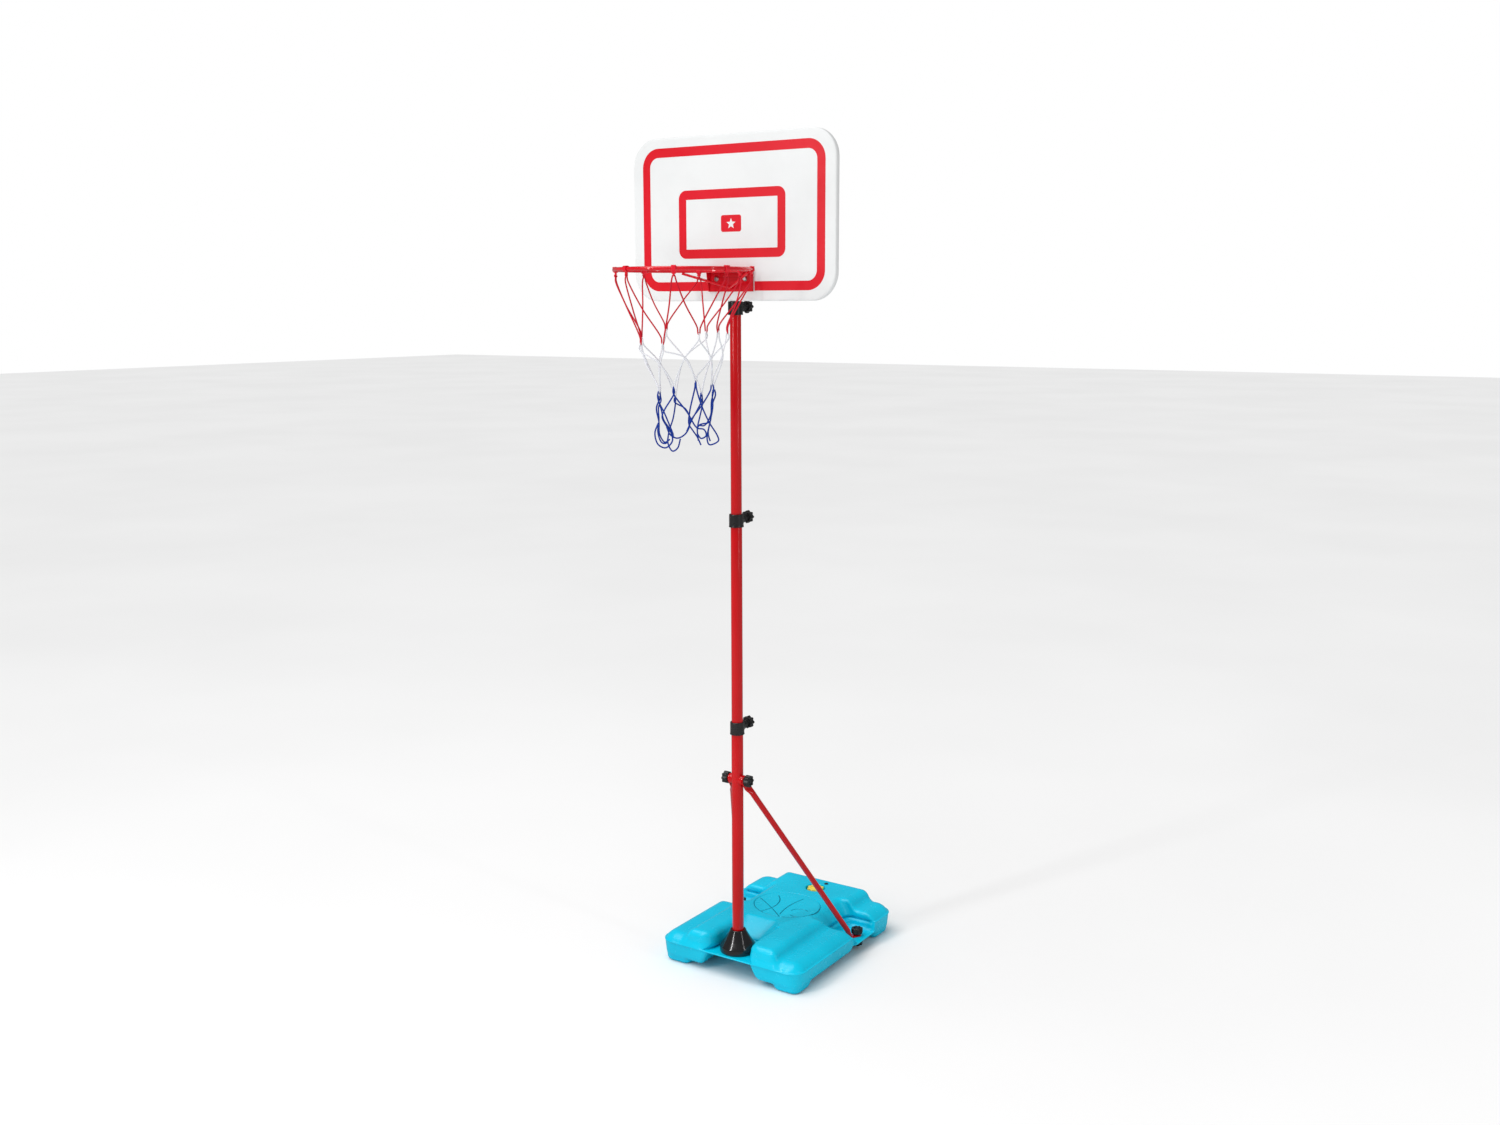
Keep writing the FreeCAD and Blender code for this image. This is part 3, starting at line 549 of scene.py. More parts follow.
pts, quads, shade_faces = ball_panel()
panel = obj_from("ball_panel", pts, quads, TANK, 180)
panel.data.materials.append(TANK_GROOVE_SHADE)
panel.data.polygons.foreach_set("material_index", shade_faces.astype("i4"))
settle(panel, "base", "tank_plastic")


# --- filler cap and vent -------------------------------------------------------------------------

def cap_field(x, y, z):
    a = np.arctan2(y, x)
    r = np.hypot(x, y)
    lobes = 18.4 + 1.9 * np.cos(8 * a)
    disc = smax(r - lobes, np.abs(z - 86.25) - 3.75, 1.6)
    disc = smax(disc, -smax(r - 12.5, 88.6 - z, 1.0), 0.8)
    grip = smax(smax(np.abs(x) - 12.0, np.abs(y) - 2.5, 1.5), np.abs(z - 89.5) - 4.0, 1.2)
    plug = np.maximum(np.maximum(r - 12.9, 10.6 - r), np.abs(z - 75.5) - 8.0)
    return np.minimum(smin(disc, grip, 1.2), plug)


pts, quads = skin(cap_field, (-21, -21, 67), (21, 21, 94), 0.7)
pts = pts + (CAP_X, CAP_Y, 0)
settle(obj_from("cap_lobed", pts, quads, CAP, 50), "cap", "cap_plastic", "filler_cap")

button = [(0.02, 82), (3.1, 82), (3.1, 90), (5.0, 90), (4.3, 91.6), (2.0, 92.2), (0.02, 92.2)]
profile = round_corners(button, 0.5)
pts, quads = lathe(profile, 32)
pts = pts + (VENT_X, VENT_Y, 0)
settle(obj_from("vent_button", pts, quads, DARK), "vent", "dark_plastic", "vent_plug")


# --- pole ----------------------------------------------------------------------------------------

def tube_piece(name, outer, wall, z0, z1, body, node):
    inner = outer - wall
    profile = round_corners([(inner, z0), (outer, z0), (outer, z1), (inner, z1)], wall * 0.45, 3)
    levels = []
    for i, (r, z) in enumerate(profile):
        levels.append((r, z))
    pts, quads = lathe(levels, 72)
    settle(obj_from(name, pts, quads, RED, 60), body, "painted_red", node)


def node_mm(node):
    """Box of a CAD node in millimetres from the pole's axis."""
    lo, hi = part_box(node)
    return (lo - POLE) / MM, (hi - POLE) / MM


for name, body in (
    ("lower_tube", "base"), ("middle_tube", "middle_section"),
    ("top_tube", "top_section"), ("board_tube", "head"),
):
    lo, hi = node_mm(name)
    tube_piece(name.replace("_tube", "_pole"), hi.x, 0.55, lo.z, hi.z, body, name)

lo, hi = node_mm("tube_plug")
r = hi.x
plug = [(0.02, lo.z), (r - 0.6, lo.z), (r - 0.6, hi.z - 3), (r, hi.z - 3), (r, hi.z), (0.02, hi.z)]
plug = round_corners(plug, 0.9)
pts, quads = lathe(plug, 48)
settle(obj_from("pole_end_cap", pts, quads, BLACK), "head", "black_plastic", "tube_plug")


def collar_field(outer_r, inner_r):
    def field(x, y, z):
        r = np.hypot(x, y)
        flare = 15.6 + 0.9 * np.clip(1 - z / 6.0, 0, 1) ** 2
        sleeve = smax(r - flare, np.abs(z - 14) - 14, 1.3)
        t = np.clip((y - 6) / 27.0, 0, 1)
        mid = 14.0 + 3.0 * t
        ear_r = 12.6 - 4.1 * t
        ear = smax((np.hypot(x, z - mid) - ear_r) * 0.97, y - 33.0, 1.2)
        ear = np.maximum(ear, 2 - y)
        ear = smax(ear, np.abs(z - 14) - 13.6, 1.0)
        ribs = np.abs(np.mod(y - 15.0, 4.0) - 2.0) - 1.4
        rim = ear_r - 0.7 - np.hypot(x, z - mid)
        ear = np.maximum(ear, -np.maximum(np.maximum(-ribs - 0.9, rim), 17 - y))
        body = smin(sleeve, ear, 3.0)
        slit = smax(np.abs(x) - 0.7, 12 - y, 0.3)
        body = np.maximum(body, -np.maximum(slit, 12.0 - z))
        bore = np.where(z > 11, r - inner_r - 0.05, r - outer_r - 0.02)
        screw = np.maximum(np.hypot(x, z - 17) - 3.2, 8 - y)
        pocket = np.maximum(np.hypot(x, z - 17) - 6.0, 28.2 - y)
        return np.maximum(np.maximum(np.maximum(body, -bore), -screw), -pocket)
    return field


def knob_field(x, y, z):
    """Eight-lobed knob from its hub face at z = -3 to its dished top at z = 12."""
    a = np.arctan2(y, x)
    r = np.hypot(x, y)
    lobes = 12.55 + 1.35 * np.cos(8 * a)
    body = smax((r - lobes) * 0.93, np.abs(z - 6) - 6, 1.7)
    dish = smax(r - 7.2, 9.4 - z, 1.2)
    body = smax(body, -dish, 0.9)
    dome = smax(r - 4.6, z - 11.4, 1.4)
    dome = np.maximum(dome, 4 - z)
    hub = smax(r - 8.0, np.abs(z + 1.5) - 1.7, 0.6)
    ring = smax(np.abs(r - 10.2) - 0.9, np.abs(z + 0.2) - 0.9, 0.4)
    return smin(smin(np.minimum(body, dome), hub, 0.8), ring, 0.3)


def along(direction, place):
    """Matrix that turns +Z to a direction and moves the origin to a place in millimetres."""
    turn = Vector((0, 0, 1)).rotation_difference(Vector(direction)).to_matrix().to_4x4()
    return Matrix.Translation(POLE + Vector(place) * MM) @ turn


knob_pts, knob_quads = skin(knob_field, (-15, -15, -4), (15, 15, 13), 0.5)
knob_base = obj_from("knob_pattern", knob_pts, knob_quads, BLACK, 50, at_pole=False)
KNOB_MESH = knob_base.data
bpy.data.objects.remove(knob_base)


def stud_mesh(length, radius=2.95, pitch=1.0):
    """Threaded stud from z = 0 down to -length."""
    profile = [(0.02, 0), (radius, 0)]
    z = -1.0
    while z > -length + 1.0:
        profile += [(radius, z), (radius - 0.35, z - pitch * 0.5)]
        z -= pitch
    profile += [(radius - 0.6, -length), (0.02, -length)]
    return lathe(profile[::-1], 24)


def knob(name, body, node, direction, place, hub):
    """Knob whose grip starts at a place and whose hub reaches back from it."""
    obj = bpy.data.objects.new(name, KNOB_MESH)
    bpy.context.scene.collection.objects.link(obj)
    obj.matrix_world = along(direction, place)
    settle(obj, body, "black_plastic", node)
    lo, hi = node_mm(node)
    length = max(abs((hi - lo).dot(Vector(direction))) - 12.5, 4.0)
    pts, quads = stud_mesh(length)
    stud = obj_from(name + "_stud", pts, quads, ZINC, 50, at_pole=False)
    stud.matrix_world = along(direction, place)
    settle(stud, body, "zinc")


for name, body, tube_node, inner_node in (
    ("lower", "base", "lower_tube", "middle_tube"),
    ("middle", "middle_section", "middle_tube", "top_tube"),
    ("top", "top_section", "top_tube", "board_tube"),
):
    lo, hi = node_mm(name + "_collar")
    outer_r, inner_r = node_mm(tube_node)[1].x, node_mm(inner_node)[1].x
    pts, quads = skin(collar_field(outer_r, inner_r), (-17, -17, -0.5), (17, 34, 28.5), 0.6)
    pts = pts + (0, 0, lo.z)
    settle(obj_from(name + "_clamp_collar", pts, quads, BLACK, 50), body, "black_plastic", name + "_collar")
    knob(name + "_knob_grip", name + "_knob", name + "_collar_knob", (0, 1, 0), (0, 38, lo.z + 17), 4.7)

for side, sign in (("right", 1), ("left", -1)):
    lo, hi = node_mm(side + "_brace_knob")
    z = (lo.z + hi.z) / 2
    knob(side + "_upper_grip", side + "_upper_knob", side + "_brace_knob", (sign, 0, 0), (sign * 23, 0, z), 3)
    lo, hi = node_mm(side + "_base_knob")
    knob(side + "_foot_grip", side + "_foot_knob", side + "_base_knob", (0, 0, 1), (sign * 163, 255, 37), 4)

cone = [(13.2, 51.6), (41.0, 51.6), (41.2, 57), (40.6, 64.5), (36.5, 70.5), (30.6, 78.5), (25.0, 87.0),
        (20.0, 96.0), (18.2, 99.6), (17.4, 101.4), (13.2, 101.4)]
pts, quads = lathe(round_corners(cone, 1.6, 5), 96)
settle(obj_from("cone_cover", pts, quads, CONE, 50), "base", "black_plastic", "foot_cone")


# --- braces --------------------------------------------------------------------------------------

def ring_points(place, u, w, half_u, half_w, power, count=32):
    out = []
    for i in range(count):
        t = 2 * math.pi * i / count
        c, q = math.cos(t), math.sin(t)
        a = math.copysign(abs(c) ** (2 / power), c) * half_u
        b = math.copysign(abs(q) ** (2 / power), q) * half_w
        out.append(tuple(place + u * a + w * b))
    return out


def brace_piece(side, sign):
    """Round tube whose ends are pressed flat: level at the foot, upright at the pole."""
    x_axis, z_axis = Vector((1, 0, 0)), Vector((0, 0, 1))
    top, foot = Vector((18.5, 0, 451)), Vector((163, 255, 31.5))
    run = foot - top
    down = Vector((0, run.y, run.z)).normalized()
    out = Vector((run.x, run.y, 0)).normalized()
    a1, b1 = top + down * 44 + x_axis * 9, foot - out * 27 + z_axis * 18
    line = (b1 - a1).normalized()
    top_side, foot_side = x_axis.cross(down), out.cross(z_axis)
    u = (top_side - line * top_side.dot(line)).normalized()
    w = line.cross(u)
    ends = ((9.6, 3.5), (8.8, 5.4), (7.4, 7.2), (4.5, 9.0), (0.0, 10.0))
    rings = [ring_points(top - down * s, top_side, x_axis, h, 1.5, 8) for s, h in ends]
    steps = 9
    for k in range(steps + 1):
        t = k / steps
        e = t * t * (3 - 2 * t)
        place = (top + down * 16).lerp(a1, t) - x_axis * 9 * (t - e) * 0.8
        uu = top_side.lerp(u, e).normalized()
        ww = x_axis.lerp(w, e).normalized()
        power = 8 - 6 * min(1, e * 2.2)
        rings.append(ring_points(place, uu, ww, 10 - 3.5 * e, 1.5 + 5.0 * e, power))
    for k in range(steps + 1):
        t = k / steps
        e = t * t * (3 - 2 * t)
        place = b1.lerp(foot - out * 17, t)
        place.z = b1.z + (foot.z - b1.z) * math.sin(t * math.pi / 2) ** 1.3
        uu = u.lerp(z_axis, e).normalized()
        ww = w.lerp(foot_side, e).normalized()
        power = 8 - 6 * min(1, (1 - e) * 2.2)
        rings.append(ring_points(place, uu, ww, 6.5 - 5.0 * e, 6.5 + 3.5 * e, power))
    rings += [ring_points(foot + out * s, z_axis, foot_side, 1.5, h, 8) for s, h in reversed(ends)]
    verts = [(sign * x, y, z) for ring in rings for x, y, z in ring]
    faces = rings_to_faces(len(rings), 32)
    if sign < 0:
        faces = [f[::-1] for f in faces]
    settle(obj_from(side + "_stay", verts, faces, RED, 50), "base", "painted_red", side + "_brace")


brace_piece("right", 1)
brace_piece("left", -1)


# --- board ---------------------------------------------------------------------------------------

BOARD_LO, BOARD_HI = node_mm("backboard")
CORNER = 58


def board_level(inset, y):
    r = max(CORNER - inset, 2)
    flat = rounded_rect(BOARD_LO.x + inset, BOARD_HI.x - inset, BOARD_LO.z + inset, BOARD_HI.z - inset, r, 16)
    return [(x, y, z) for x, z in flat]


front, back = BOARD_LO.y, BOARD_HI.y
levels = [(7.0, 0.0), (3.2, 0.05), (1.7, 0.35), (0.7, 1.0), (0.15, 2.0), (0.0, 3.4), (0.0, 11.2), (0.3, 11.8),
          (0.9, 12.0), (2.0, 12.0), (2.5, 11.8), (2.7, 11.2), (2.9, 3.4), (3.6, 2.7), (5.0, 2.6), (9.0, 2.6)]
rings = [board_level(inset, front + y) for inset, y in levels]
n = len(rings[0])
faces = rings_to_faces(len(rings), n)
board = obj_from("board_shell", [p for ring in rings for p in ring], [f[::-1] for f in faces], BOARD, 50)
settle(board, "head", "board_plastic", "backboard")


def slab(name, outer, inner, y0, y1, material, body, slot, bevel=0.0):
    """Flat ring between two outlines of equal length, or a plate if inner is None. Outlines are (x, z)."""
    n = len(outer)
    verts = [(x, y0, z) for x, z in outer] + [(x, y1, z) for x, z in outer]
    sides = [(k, (k + 1) % n, n + (k + 1) % n, n + k) for k in range(n)]
    if inner is None:
        faces = sides + [tuple(range(n))[::-1], tuple(range(n, 2 * n))]
    else:
        verts += [(x, y0, z) for x, z in inner] + [(x, y1, z) for x, z in inner]
        faces = list(sides)
        for k in range(n):
            j = (k + 1) % n
            faces.append((2 * n + j, 2 * n + k, 3 * n + k, 3 * n + j))
            faces.append((k, 2 * n + k, 2 * n + j, j))
            faces.append((n + j, 3 * n + j, 3 * n + k, n + k))
    obj = obj_from(name, verts, faces, material, 30)
    return settle(obj, body, slot)


def strip(name, pairs, y0, y1, material, body, slot):
    """Flat open band between pairs of (outer, inner) points."""
    verts, faces = [], []
    for (ox, oz), (ix, iz) in pairs:
        verts += [(ox, y0, oz), (ix, y0, iz), (ix, y1, iz), (ox, y1, oz)]
    for k in range(len(pairs) - 1):
        for j in range(4):
            faces.append((4 * k + j, 4 * k + (j + 1) % 4, 4 * k + 4 + (j + 1) % 4, 4 * k + 4 + j))
    m = 4 * (len(pairs) - 1)
    faces += [(3, 2, 1, 0), (m, m + 1, m + 2, m + 3)]
    return settle(obj_from(name, verts, faces, material, 30), body, slot)


cz = (BOARD_LO.z + BOARD_HI.z) / 2
PRINT0, PRINT1 = front - 0.22, front + 0.3
outer = rounded_rect(-225, 225, cz - 148, cz + 148, 40)
inner = rounded_rect(-206, 206, cz - 129, cz + 129, 21)
GAP = 57.5
pairs = list(zip(outer, inner))
start = 3 * 13
right_end, left_end = ((GAP, cz - 148), (GAP, cz - 129)), ((-GAP, cz - 148), (-GAP, cz - 129))
pairs = [right_end] + pairs[start:] + pairs[:start] + [left_end]
strip("band_outer", pairs, PRINT0, PRINT1, BAND, "head", "board_plastic")
tz = cz - 11
outer = rounded_rect(-132, 132, tz - 70, tz + 70, 18)
inner = rounded_rect(-113, 113, tz - 51, tz + 51, 0.6)
slab("band_target", outer, inner, PRINT0, PRINT1, BAND, "head", "board_plastic")
slab("badge", rounded_rect(-25, 25, tz - 17, tz + 17, 5), None, PRINT0, PRINT1, BAND, "head", "board_plastic")
star = []
for k in range(10):
    a = math.radians(90 + 36 * k)
    r = 11.5 if k % 2 == 0 else 5.0
    star.append((r * math.cos(a), tz - 0.8 + r * math.sin(a)))
slab("badge_star", star, None, PRINT0 - 0.12, PRINT1, STAR, "head", "board_plastic")


def box_piece(name, boxes, material, body, slot, *nodes, bevel=0.5):
    """Several plain bars in one piece, with rounded edges."""
    verts, faces = [], []
    for x0, x1, y0, y1, z0, z1 in boxes:
        b = len(verts)
        verts += [(x, y, z) for z in (z0, z1) for y in (y0, y1) for x in (x0, x1)]
        faces += [(b, b + 2, b + 3, b + 1), (b + 4, b + 5, b + 7, b + 6), (b, b + 1, b + 5, b + 4),
                  (b + 2, b + 6, b + 7, b + 3), (b, b + 4, b + 6, b + 2), (b + 1, b + 3, b + 7, b + 5)]
    obj = obj_from(name, verts, faces, material, 40)
    mod = obj.modifiers.new("edge", "BEVEL")
    mod.width, mod.segments, mod.limit_method = bevel * MM, 2, "ANGLE"
    return settle(obj, body, slot, *nodes)


ribs = []
y0, y1 = front + 2.3, back - 0.4
for x in (-175, -95, 95, 175):
    ribs.append((x - 1, x + 1, y0, y1, BOARD_LO.z + 2.5, BOARD_HI.z - 2.5))
for z in (1588, 1668, 1748):
    ribs.append((BOARD_LO.x + 2.5, -20, y0, y1, z, z + 2))
    ribs.append((20, BOARD_HI.x - 2.5, y0, y1, z, z + 2))
for x in (-21, 19):
    ribs.append((x, x + 2, y0, y1, BOARD_LO.z + 92, BOARD_HI.z - 2.5))
box_piece("board_ribs", ribs, BOARD, "head", "board_plastic", bevel=0.6)


# --- rim -----------------------------------------------------------------------------------------

RIM_LO, RIM_HI = node_mm("rim_ring")
RIM = np.array(((RIM_LO.x + RIM_HI.x) / 2, (RIM_LO.y + RIM_HI.y) / 2, (RIM_LO.z + RIM_HI.z) / 2))
ROD = (RIM_HI.z - RIM_LO.z) / 2
RIM_R = (RIM_HI.x - RIM_LO.x) / 2 - ROD
turns = np.linspace(0, 2 * math.pi, 24, endpoint=False)
circle = [(RIM_R + ROD * math.cos(a), ROD * math.sin(a)) for a in turns]
pts, quads = lathe(circle, 144)
settle(obj_from("rim_hoop", pts + RIM, quads, RIM_RED, 180), "head", "rim_red", "rim_ring")

CLIP_ANGLES = (28, 73, 116, 158, 202, 252, 297, 342)


def clip_field(x, y, z):
    """One net clip: x outward, y along the rod, z up, rod axis at the origin."""
    r = np.hypot(x, z)
    ring = smax(r - 6.1, np.abs(y) - 4.6, 0.7)
    lips = smax(np.hypot(x - 4.2, z - 4.2) - 1.6, np.abs(y) - 4.6, 0.5)
    neck = smax(np.abs(x) - 1.6, np.abs(y) - 2.6 + 0.12 * z, 0.8)
    neck = np.maximum(neck, np.abs(z + 7.6) - 3.4)
    hook = np.hypot(np.hypot(x, z + 11.6) - 2.7, y * 0.8) - 1.05
    gap = np.maximum(np.abs(x + 3.0) - 1.4, np.abs(z + 10.4) - 0.8)
    hook = np.maximum(hook, -gap)
    body = smin(smin(smin(ring, lips, 0.6), neck, 1.0), hook, 0.7)
    return np.maximum(body, -(r - ROD - 0.02))


clip_pts, clip_quads = skin(clip_field, (-7, -6, -17), (7, 6, 8), 0.45)
all_pts, all_quads = [], []
for angle in CLIP_ANGLES:
    a = math.radians(angle)
    out, tan = np.array((math.sin(a), -math.cos(a), 0)), np.array((math.cos(a), math.sin(a), 0))
    spot = RIM + out * RIM_R
    all_quads.append(clip_quads + sum(len(p) for p in all_pts))
    all_pts.append(spot + clip_pts[:, :1] * out + clip_pts[:, 1:2] * tan + clip_pts[:, 2:] * (0, 0, 1))
clips = obj_from("rim_clips", np.concatenate(all_pts), np.concatenate(all_quads), CLIP, 50)
settle(clips, "head", "clip_plastic", "net_clips")


# --- CAD nodes that keep their shape -------------------------------------------------------------

def dress(node, material, bevel=0.4):
    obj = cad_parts[node]
    for k in range(len(obj.material_slots)):
        obj.material_slots[k].material = material
    if not obj.material_slots:
        obj.data.materials.append(material)
    weld = obj.modifiers.new("weld", "WELD")
    weld.merge_threshold = 0.00002
    if bevel:
        mod = obj.modifiers.new("edge", "BEVEL")
        mod.width, mod.segments, mod.limit_method = bevel * MM, 3, "ANGLE"
        mod.angle_limit = math.radians(35)
        mod.harden_normals = False


for node, material, bevel in (
    ("rim_bracket", RIM_RED, 0.7), ("rim_strut", RIM_RED, 0),
    ("rim_bolts", ZINC, 0.4), ("rim_nuts", ZINC, 0.3),
    ("board_clamp", ZINC, 0.4), ("clamp_screw", ZINC, 0.3), ("brace_pads", RED, 0.8),
    ("foot_plug", DARK, 0.5), ("foot_bolt", ZINC, 0.3), ("foot_washer", ZINC, 0.3), ("cap_seal", RUBBER, 0.3),
    ("lower_collar_nut", ZINC, 0.2), ("middle_collar_nut", ZINC, 0.2), ("top_collar_nut", ZINC, 0.2),
    ("right_base_nut", BLACK, 0.5), ("left_base_nut", BLACK, 0.5),
):
    dress(node, material, bevel)


# --- net -----------------------------------------------------------------------------------------

def spline(points, spacing=2.0):
    """Smooth line through given points (centripetal Catmull-Rom), sampled evenly."""
    p = [np.array(q, float) for q in points]
    p = [2 * p[0] - p[1]] + p + [2 * p[-1] - p[-2]]
    out = []
    for i in range(1, len(p) - 2):
        p0, p1, p2, p3 = p[i - 1:i + 3]
        t = [0.0]
        for a, b in ((p0, p1), (p1, p2), (p2, p3)):
            t.append(t[-1] + max(np.linalg.norm(b - a), 1e-6) ** 0.5)
        steps = max(2, int(np.linalg.norm(p2 - p1) / spacing))
        for k in range(steps):
            s = t[1] + (t[2] - t[1]) * k / steps
            a1 = (t[1] - s) / (t[1] - t[0]) * p0 + (s - t[0]) / (t[1] - t[0]) * p1
            a2 = (t[2] - s) / (t[2] - t[1]) * p1 + (s - t[1]) / (t[2] - t[1]) * p2
            a3 = (t[3] - s) / (t[3] - t[2]) * p2 + (s - t[2]) / (t[3] - t[2]) * p3
            b1 = (t[2] - s) / (t[2] - t[0]) * a1 + (s - t[0]) / (t[2] - t[0]) * a2
            b2 = (t[3] - s) / (t[3] - t[1]) * a2 + (s - t[1]) / (t[3] - t[1]) * a3
            out.append((t[2] - s) / (t[2] - t[1]) * b1 + (s - t[1]) / (t[2] - t[1]) * b2)
    out.append(p[-2])
    return np.array(out)


def cord_mesh(lines, radius, sides=10):
    """Points, quads and UVs of round cords along several lines; v is the length in metres."""
    verts, faces, uvs = [], [], []
    for line in lines:
        tangent = np.gradient(line, axis=0)
        tangent /= np.linalg.norm(tangent, axis=1)[:, None]
        normal = np.cross(tangent[0], (0.3, 0.2, 1.0))
        length = 0.0
        base = len(verts)
        for i, point in enumerate(line):
            normal = normal - tangent[i] * normal.dot(tangent[i])
            normal = normal / np.linalg.norm(normal)
            other = np.cross(tangent[i], normal)
            if i:
                length += np.linalg.norm(point - line[i - 1]) * MM
            for j in range(sides):
                a = 2 * math.pi * j / sides
                verts.append(point + radius * (math.cos(a) * normal + math.sin(a) * other))
                uvs.append((j / sides, length))
        for i in range(len(line) - 1):
            for j in range(sides):
                k = (j + 1) % sides
                faces.append((base + i * sides + j, base + i * sides + k,
                              base + (i + 1) * sides + k, base + (i + 1) * sides + j))
        last = base + (len(line) - 1) * sides
        for j in range(1, sides - 2, 2):
            faces.append((base, base + j + 2, base + j + 1, base + j))
            faces.append((last, last + j, last + j + 1, last + j + 2))
    return np.array(verts), np.array(faces), np.array(uvs)


def at_angle(angle, radius, z):
    a = math.radians(angle)
    return np.array((RIM[0] + radius * math.sin(a), RIM[1] - radius * math.cos(a), z))


def frame_at(angle):
    a = math.radians(angle)
    outward = np.array((math.sin(a), -math.cos(a), 0))
    around = np.array((math.cos(a), math.sin(a), 0))
    return outward, around, np.array((0, 0, 1.0))


CORD_R = 1.5
EYE_Z = RIM[2] - 11.6
# Angle and height of each joint: where red hooks into white, and where white hooks into blue.
RED_JOINTS = (
    (9, 1408), (54, 1427), (82, 1431), (144, 1427),
    (186, 1428), (239, 1432), (284, 1417), (328, 1407),
)
BLUE_JOINTS = (
    (15, 1322), (57, 1333), (102, 1326), (136, 1314),
    (181, 1304), (235, 1297), (273, 1302), (338, 1313),
)
CROSSINGS = (
    (37, 1381), (80, 1377), (124, 1376), (170, 1373),
    (215, 1375), (258, 1366), (305, 1367), (356, 1369),
)
RED_R, CROSS_R, BLUE_R = 92, 75, 60

red = []
for i, (angle, z) in enumerate(RED_JOINTS):
    before, after = CLIP_ANGLES[i - 1], CLIP_ANGLES[i]
    o, t, up = frame_at(angle)
    joint = at_angle(angle, RED_R, z)
    left, right = at_angle(before, RIM_R, EYE_Z), at_angle(after, RIM_R, EYE_Z)
    tl, tr = frame_at(before)[1], frame_at(after)[1]
    sag = RNG.uniform(-6, 2, 2)
    slack = RNG.uniform(-1, 5, 2)
    red.append(spline([
        left, left + tl * 2.2 - up * 3, left + tl * 4 - up * 10,
        (left * 0.55 + joint * 0.45) + up * sag[0] + o * slack[0],
        joint - t * 3.0 + up * 11, joint - t * 2.0 + up * 2, joint - up * 1.8, joint + t * 2.0 + up * 2,
        joint + t * 3.0 + up * 11,
        (right * 0.55 + joint * 0.45) + up * sag[1] + o * slack[1],
        right - tr * 4 - up * 10, right - tr * 2.2 - up * 3, right,
    ]))
pts, quads, uvs = cord_mesh(red, CORD_R)
settle(obj_from("net_red_cord", pts, quads, CORD_RED, 180, uvs=uvs), "head", "net_cord", "net")

white = []
for i in range(8):
    angle, z = RED_JOINTS[i]
    o, t, up = frame_at(angle)
    joint = at_angle(angle, RED_R, z - 0.5)
    legs = []
    for step, turn in ((-1, -1), (1, 1)):
        cross_angle, cross_z = CROSSINGS[i - 1] if step < 0 else CROSSINGS[i]
        end_angle, end_z = BLUE_JOINTS[(i + step) % 8]
        te = frame_at(end_angle)[1]
        end = at_angle(end_angle, BLUE_R, end_z)
        cross = at_angle(cross_angle, CROSS_R + 1.7 * turn, cross_z)
        legs.append([cross, end - te * turn * 3.0 + up * 10, end - te * turn * 2.0 + up * 2, end - up * 1.8])
    white.append(spline(
        legs[0][::-1]
        + [joint - o * 3.0 - up * 11, joint - o * 2.0 - up * 2, joint + up * 1.8, joint + o * 2.0 - up * 2,
           joint + o * 3.0 - up * 11]
        + legs[1]))
pts, quads, uvs = cord_mesh(white, CORD_R)
settle(obj_from("net_white_cord", pts, quads, CORD_WHITE, 180, uvs=uvs), "head", "net_cord")

# The blue foot of the net hangs in loose loops. Points are (across, behind, height), seen from the
# front right.
ACROSS, BEHIND = np.array((0.839, 0.545, 0)), np.array((-0.545, 0.839, 0))


def loose(*points):
    middle = np.array((RIM[0], RIM[1], 0))
    return [middle + ACROSS * s + BEHIND * d + np.array((0, 0, z)) for s, d, z in points]


BLUE_LEGS = (
    (loose((-38, -50, 1277), (-43, -42, 1263), (-34, -34, 1243), (-26, -30, 1230), (-24, -30, 1214),
           (-37, -32, 1201), (-52, -36, 1208), (-58, -38, 1231), (-51, -36, 1251)),
     loose((8, -52, 1272), (26, -46, 1242), (40, -42, 1238), (44, -40, 1226), (34, -38, 1220),
           (26, -40, 1230))),
    (loose((12, -46, 1274), (10, -38, 1248), (17, -34, 1236), (26, -30, 1222), (33, -28, 1206)),
     loose((35, -50, 1288), (50, -36, 1252), (66, -24, 1224), (68, -20, 1214), (58, -18, 1207),
           (49, -18, 1206), (45, -18, 1219), (50, -20, 1246))),
    (loose((38, -26, 1289), (14, -18, 1256), (9, -14, 1244)),
     loose((54, -12, 1290), (53, -6, 1262), (50, -2, 1250), (30, 4, 1244), (24, 8, 1236))),
    (loose((56, 16, 1280), (51, 22, 1252), (46, 24, 1225), (50, 22, 1209)),
     loose((55, 26, 1284), (50, 30, 1258), (38, 34, 1240), (28, 36, 1240))),
    (loose((32, 46, 1290), (11, 38, 1248), (2, 34, 1228)),
     loose((34, 44, 1282), (29, 34, 1258), (24, 26, 1234), (26, 22, 1210))),
    (loose((-26, 46, 1254), (-35, 38, 1225), (-36, 34, 1202), (-27, 32, 1188), (-17, 32, 1194),
           (-11, 34, 1213)),
     loose((0, 48, 1272), (9, 38, 1247), (0, 30, 1224), (-17, 26, 1215), (-31, 24, 1222), (-38, 22, 1238))),
    (loose((-54, 24, 1278), (-53, 14, 1252), (-55, 8, 1228), (-47, 4, 1208), (-38, 4, 1207), (-34, 6, 1220)),
     loose((-43, 22, 1268), (-30, 14, 1238), (-24, 8, 1224))),
    (loose((-55, -26, 1280), (-51, -20, 1252), (-50, -14, 1226), (-40, -10, 1210), (-30, -12, 1216)),
     loose((-45, -30, 1276), (-41, -24, 1256), (-30, -18, 1238), (-22, -16, 1222))),
)
blue = []
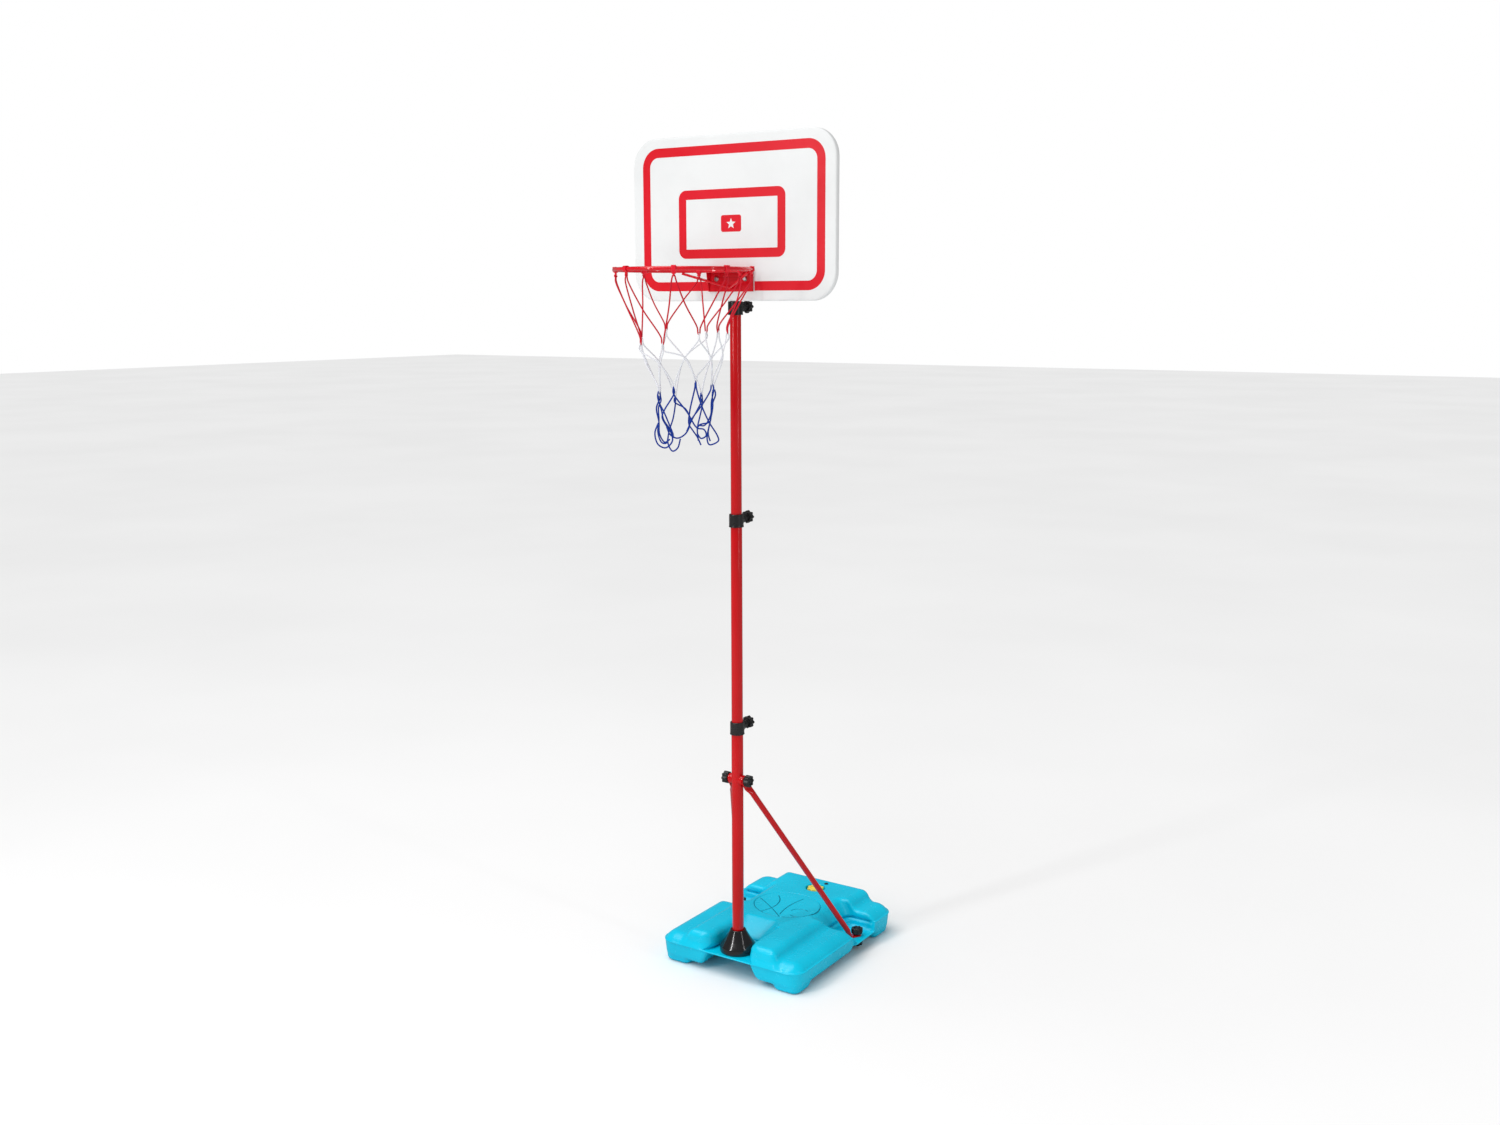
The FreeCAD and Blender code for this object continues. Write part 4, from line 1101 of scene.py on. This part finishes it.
for (angle, z), (left_leg, right_leg) in zip(BLUE_JOINTS, BLUE_LEGS):
    o, t, up = frame_at(angle)
    joint = at_angle(angle, BLUE_R, z - 0.5)
    blue.append(spline(
        left_leg[::-1]
        + [joint - o * 3.2 - up * 10, joint - o * 2.0 - up * 2, joint + up * 1.8, joint + o * 2.0 - up * 2,
           joint + o * 3.2 - up * 10]
        + right_leg))
pts, quads, uvs = cord_mesh(blue, CORD_R + 0.05)
settle(obj_from("net_blue_cord", pts, quads, CORD_BLUE, 180, uvs=uvs), "head", "net_cord")


# --- stage, lights and camera --------------------------------------------------------------------

scene = bpy.context.scene
scene.view_settings.view_transform = "Standard"
world = bpy.data.worlds.new("studio")
scene.world = world
world.use_nodes = True
sky = world.node_tree
backdrop = sky.nodes["Background"]
backdrop.inputs["Color"].default_value = (1, 1, 1, 1)
path = sky.nodes.new("ShaderNodeLightPath")
seen = sky.nodes.new("ShaderNodeMapRange")
seen.inputs["To Min"].default_value = 0.42
seen.inputs["To Max"].default_value = 1.0
mirrored = sky.nodes.new("ShaderNodeMapRange")
mirrored.inputs["To Min"].default_value = 1.0
mirrored.inputs["To Max"].default_value = 0.4
strength = sky.nodes.new("ShaderNodeMath")
strength.operation = "MULTIPLY"
sky.links.new(path.outputs["Is Camera Ray"], seen.inputs["Value"])
sky.links.new(path.outputs["Is Glossy Ray"], mirrored.inputs["Value"])
sky.links.new(seen.outputs["Result"], strength.inputs[0])
sky.links.new(mirrored.outputs["Result"], strength.inputs[1])
sky.links.new(strength.outputs["Value"], backdrop.inputs["Strength"])

floor_mesh = bpy.data.meshes.new("floor")
floor_mesh.from_pydata([(-30, -30, 0), (30, -30, 0), (30, 30, 0), (-30, 30, 0)], [], [(0, 1, 2, 3)])
floor = bpy.data.objects.new("floor", floor_mesh)
scene.collection.objects.link(floor)
paint = Nodes("floor_paint")
tone = paint.ramp(paint.noise(0.6, 3), 0.35, 0.65, (0.90, 0.90, 0.90), (0.93, 0.93, 0.93))
tone = paint.mix(paint.add("LightPath").outputs["Is Glossy Ray"], tone, (0.3, 0.3, 0.3))
floor_mesh.materials.append(paint.done(tone, Roughness=0.9))


def softbox(name, place, target, width, height, power):
    light = bpy.data.lights.new(name, "AREA")
    light.shape = "RECTANGLE"
    light.size, light.size_y, light.energy = width, height, power
    obj = bpy.data.objects.new(name, light)
    scene.collection.objects.link(obj)
    obj.location = place
    obj.rotation_mode = "QUATERNION"
    obj.rotation_quaternion = (Vector(target) - Vector(place)).to_track_quat("-Z", "Y")


softbox("key", (-1.2, -3.2, 2.6), (0, 0, 0.7), 0.26, 2.4, 42)
softbox("side", (3.6, -0.6, 1.9), (0, 0, 0.6), 0.2, 2.6, 13)

daylight = bpy.data.lights.new("daylight", "SUN")
daylight.energy, daylight.angle = 1.75, 0.9
sun = bpy.data.objects.new("daylight", daylight)
scene.collection.objects.link(sun)
sun.rotation_euler = (0.30, -0.22, 0)

AZIMUTH, DISTANCE, CAMERA_Z = 0.5894, 3.1783, 1.4864
YAW, PITCH, ROLL = AZIMUTH - 0.0091, 0.1716, -0.0028
camera = bpy.data.objects.new("camera", bpy.data.cameras.new("camera"))
scene.collection.objects.link(camera)
camera.data.sensor_width, camera.data.lens = 36, 36
ahead = Vector((-math.sin(YAW) * math.cos(PITCH), math.cos(YAW) * math.cos(PITCH), -math.sin(PITCH)))
side = Vector((math.cos(YAW), math.sin(YAW), 0))
over = side.cross(ahead)
right = side * math.cos(ROLL) + over * math.sin(ROLL)
upward = over * math.cos(ROLL) - side * math.sin(ROLL)
turn = Matrix((right, upward, -ahead)).transposed().to_4x4()
place = Vector((math.sin(AZIMUTH) * DISTANCE, -math.cos(AZIMUTH) * DISTANCE, CAMERA_Z)) + POLE
camera.matrix_world = Matrix.Translation(place) @ turn
camera.data.clip_end = 100
scene.camera = camera
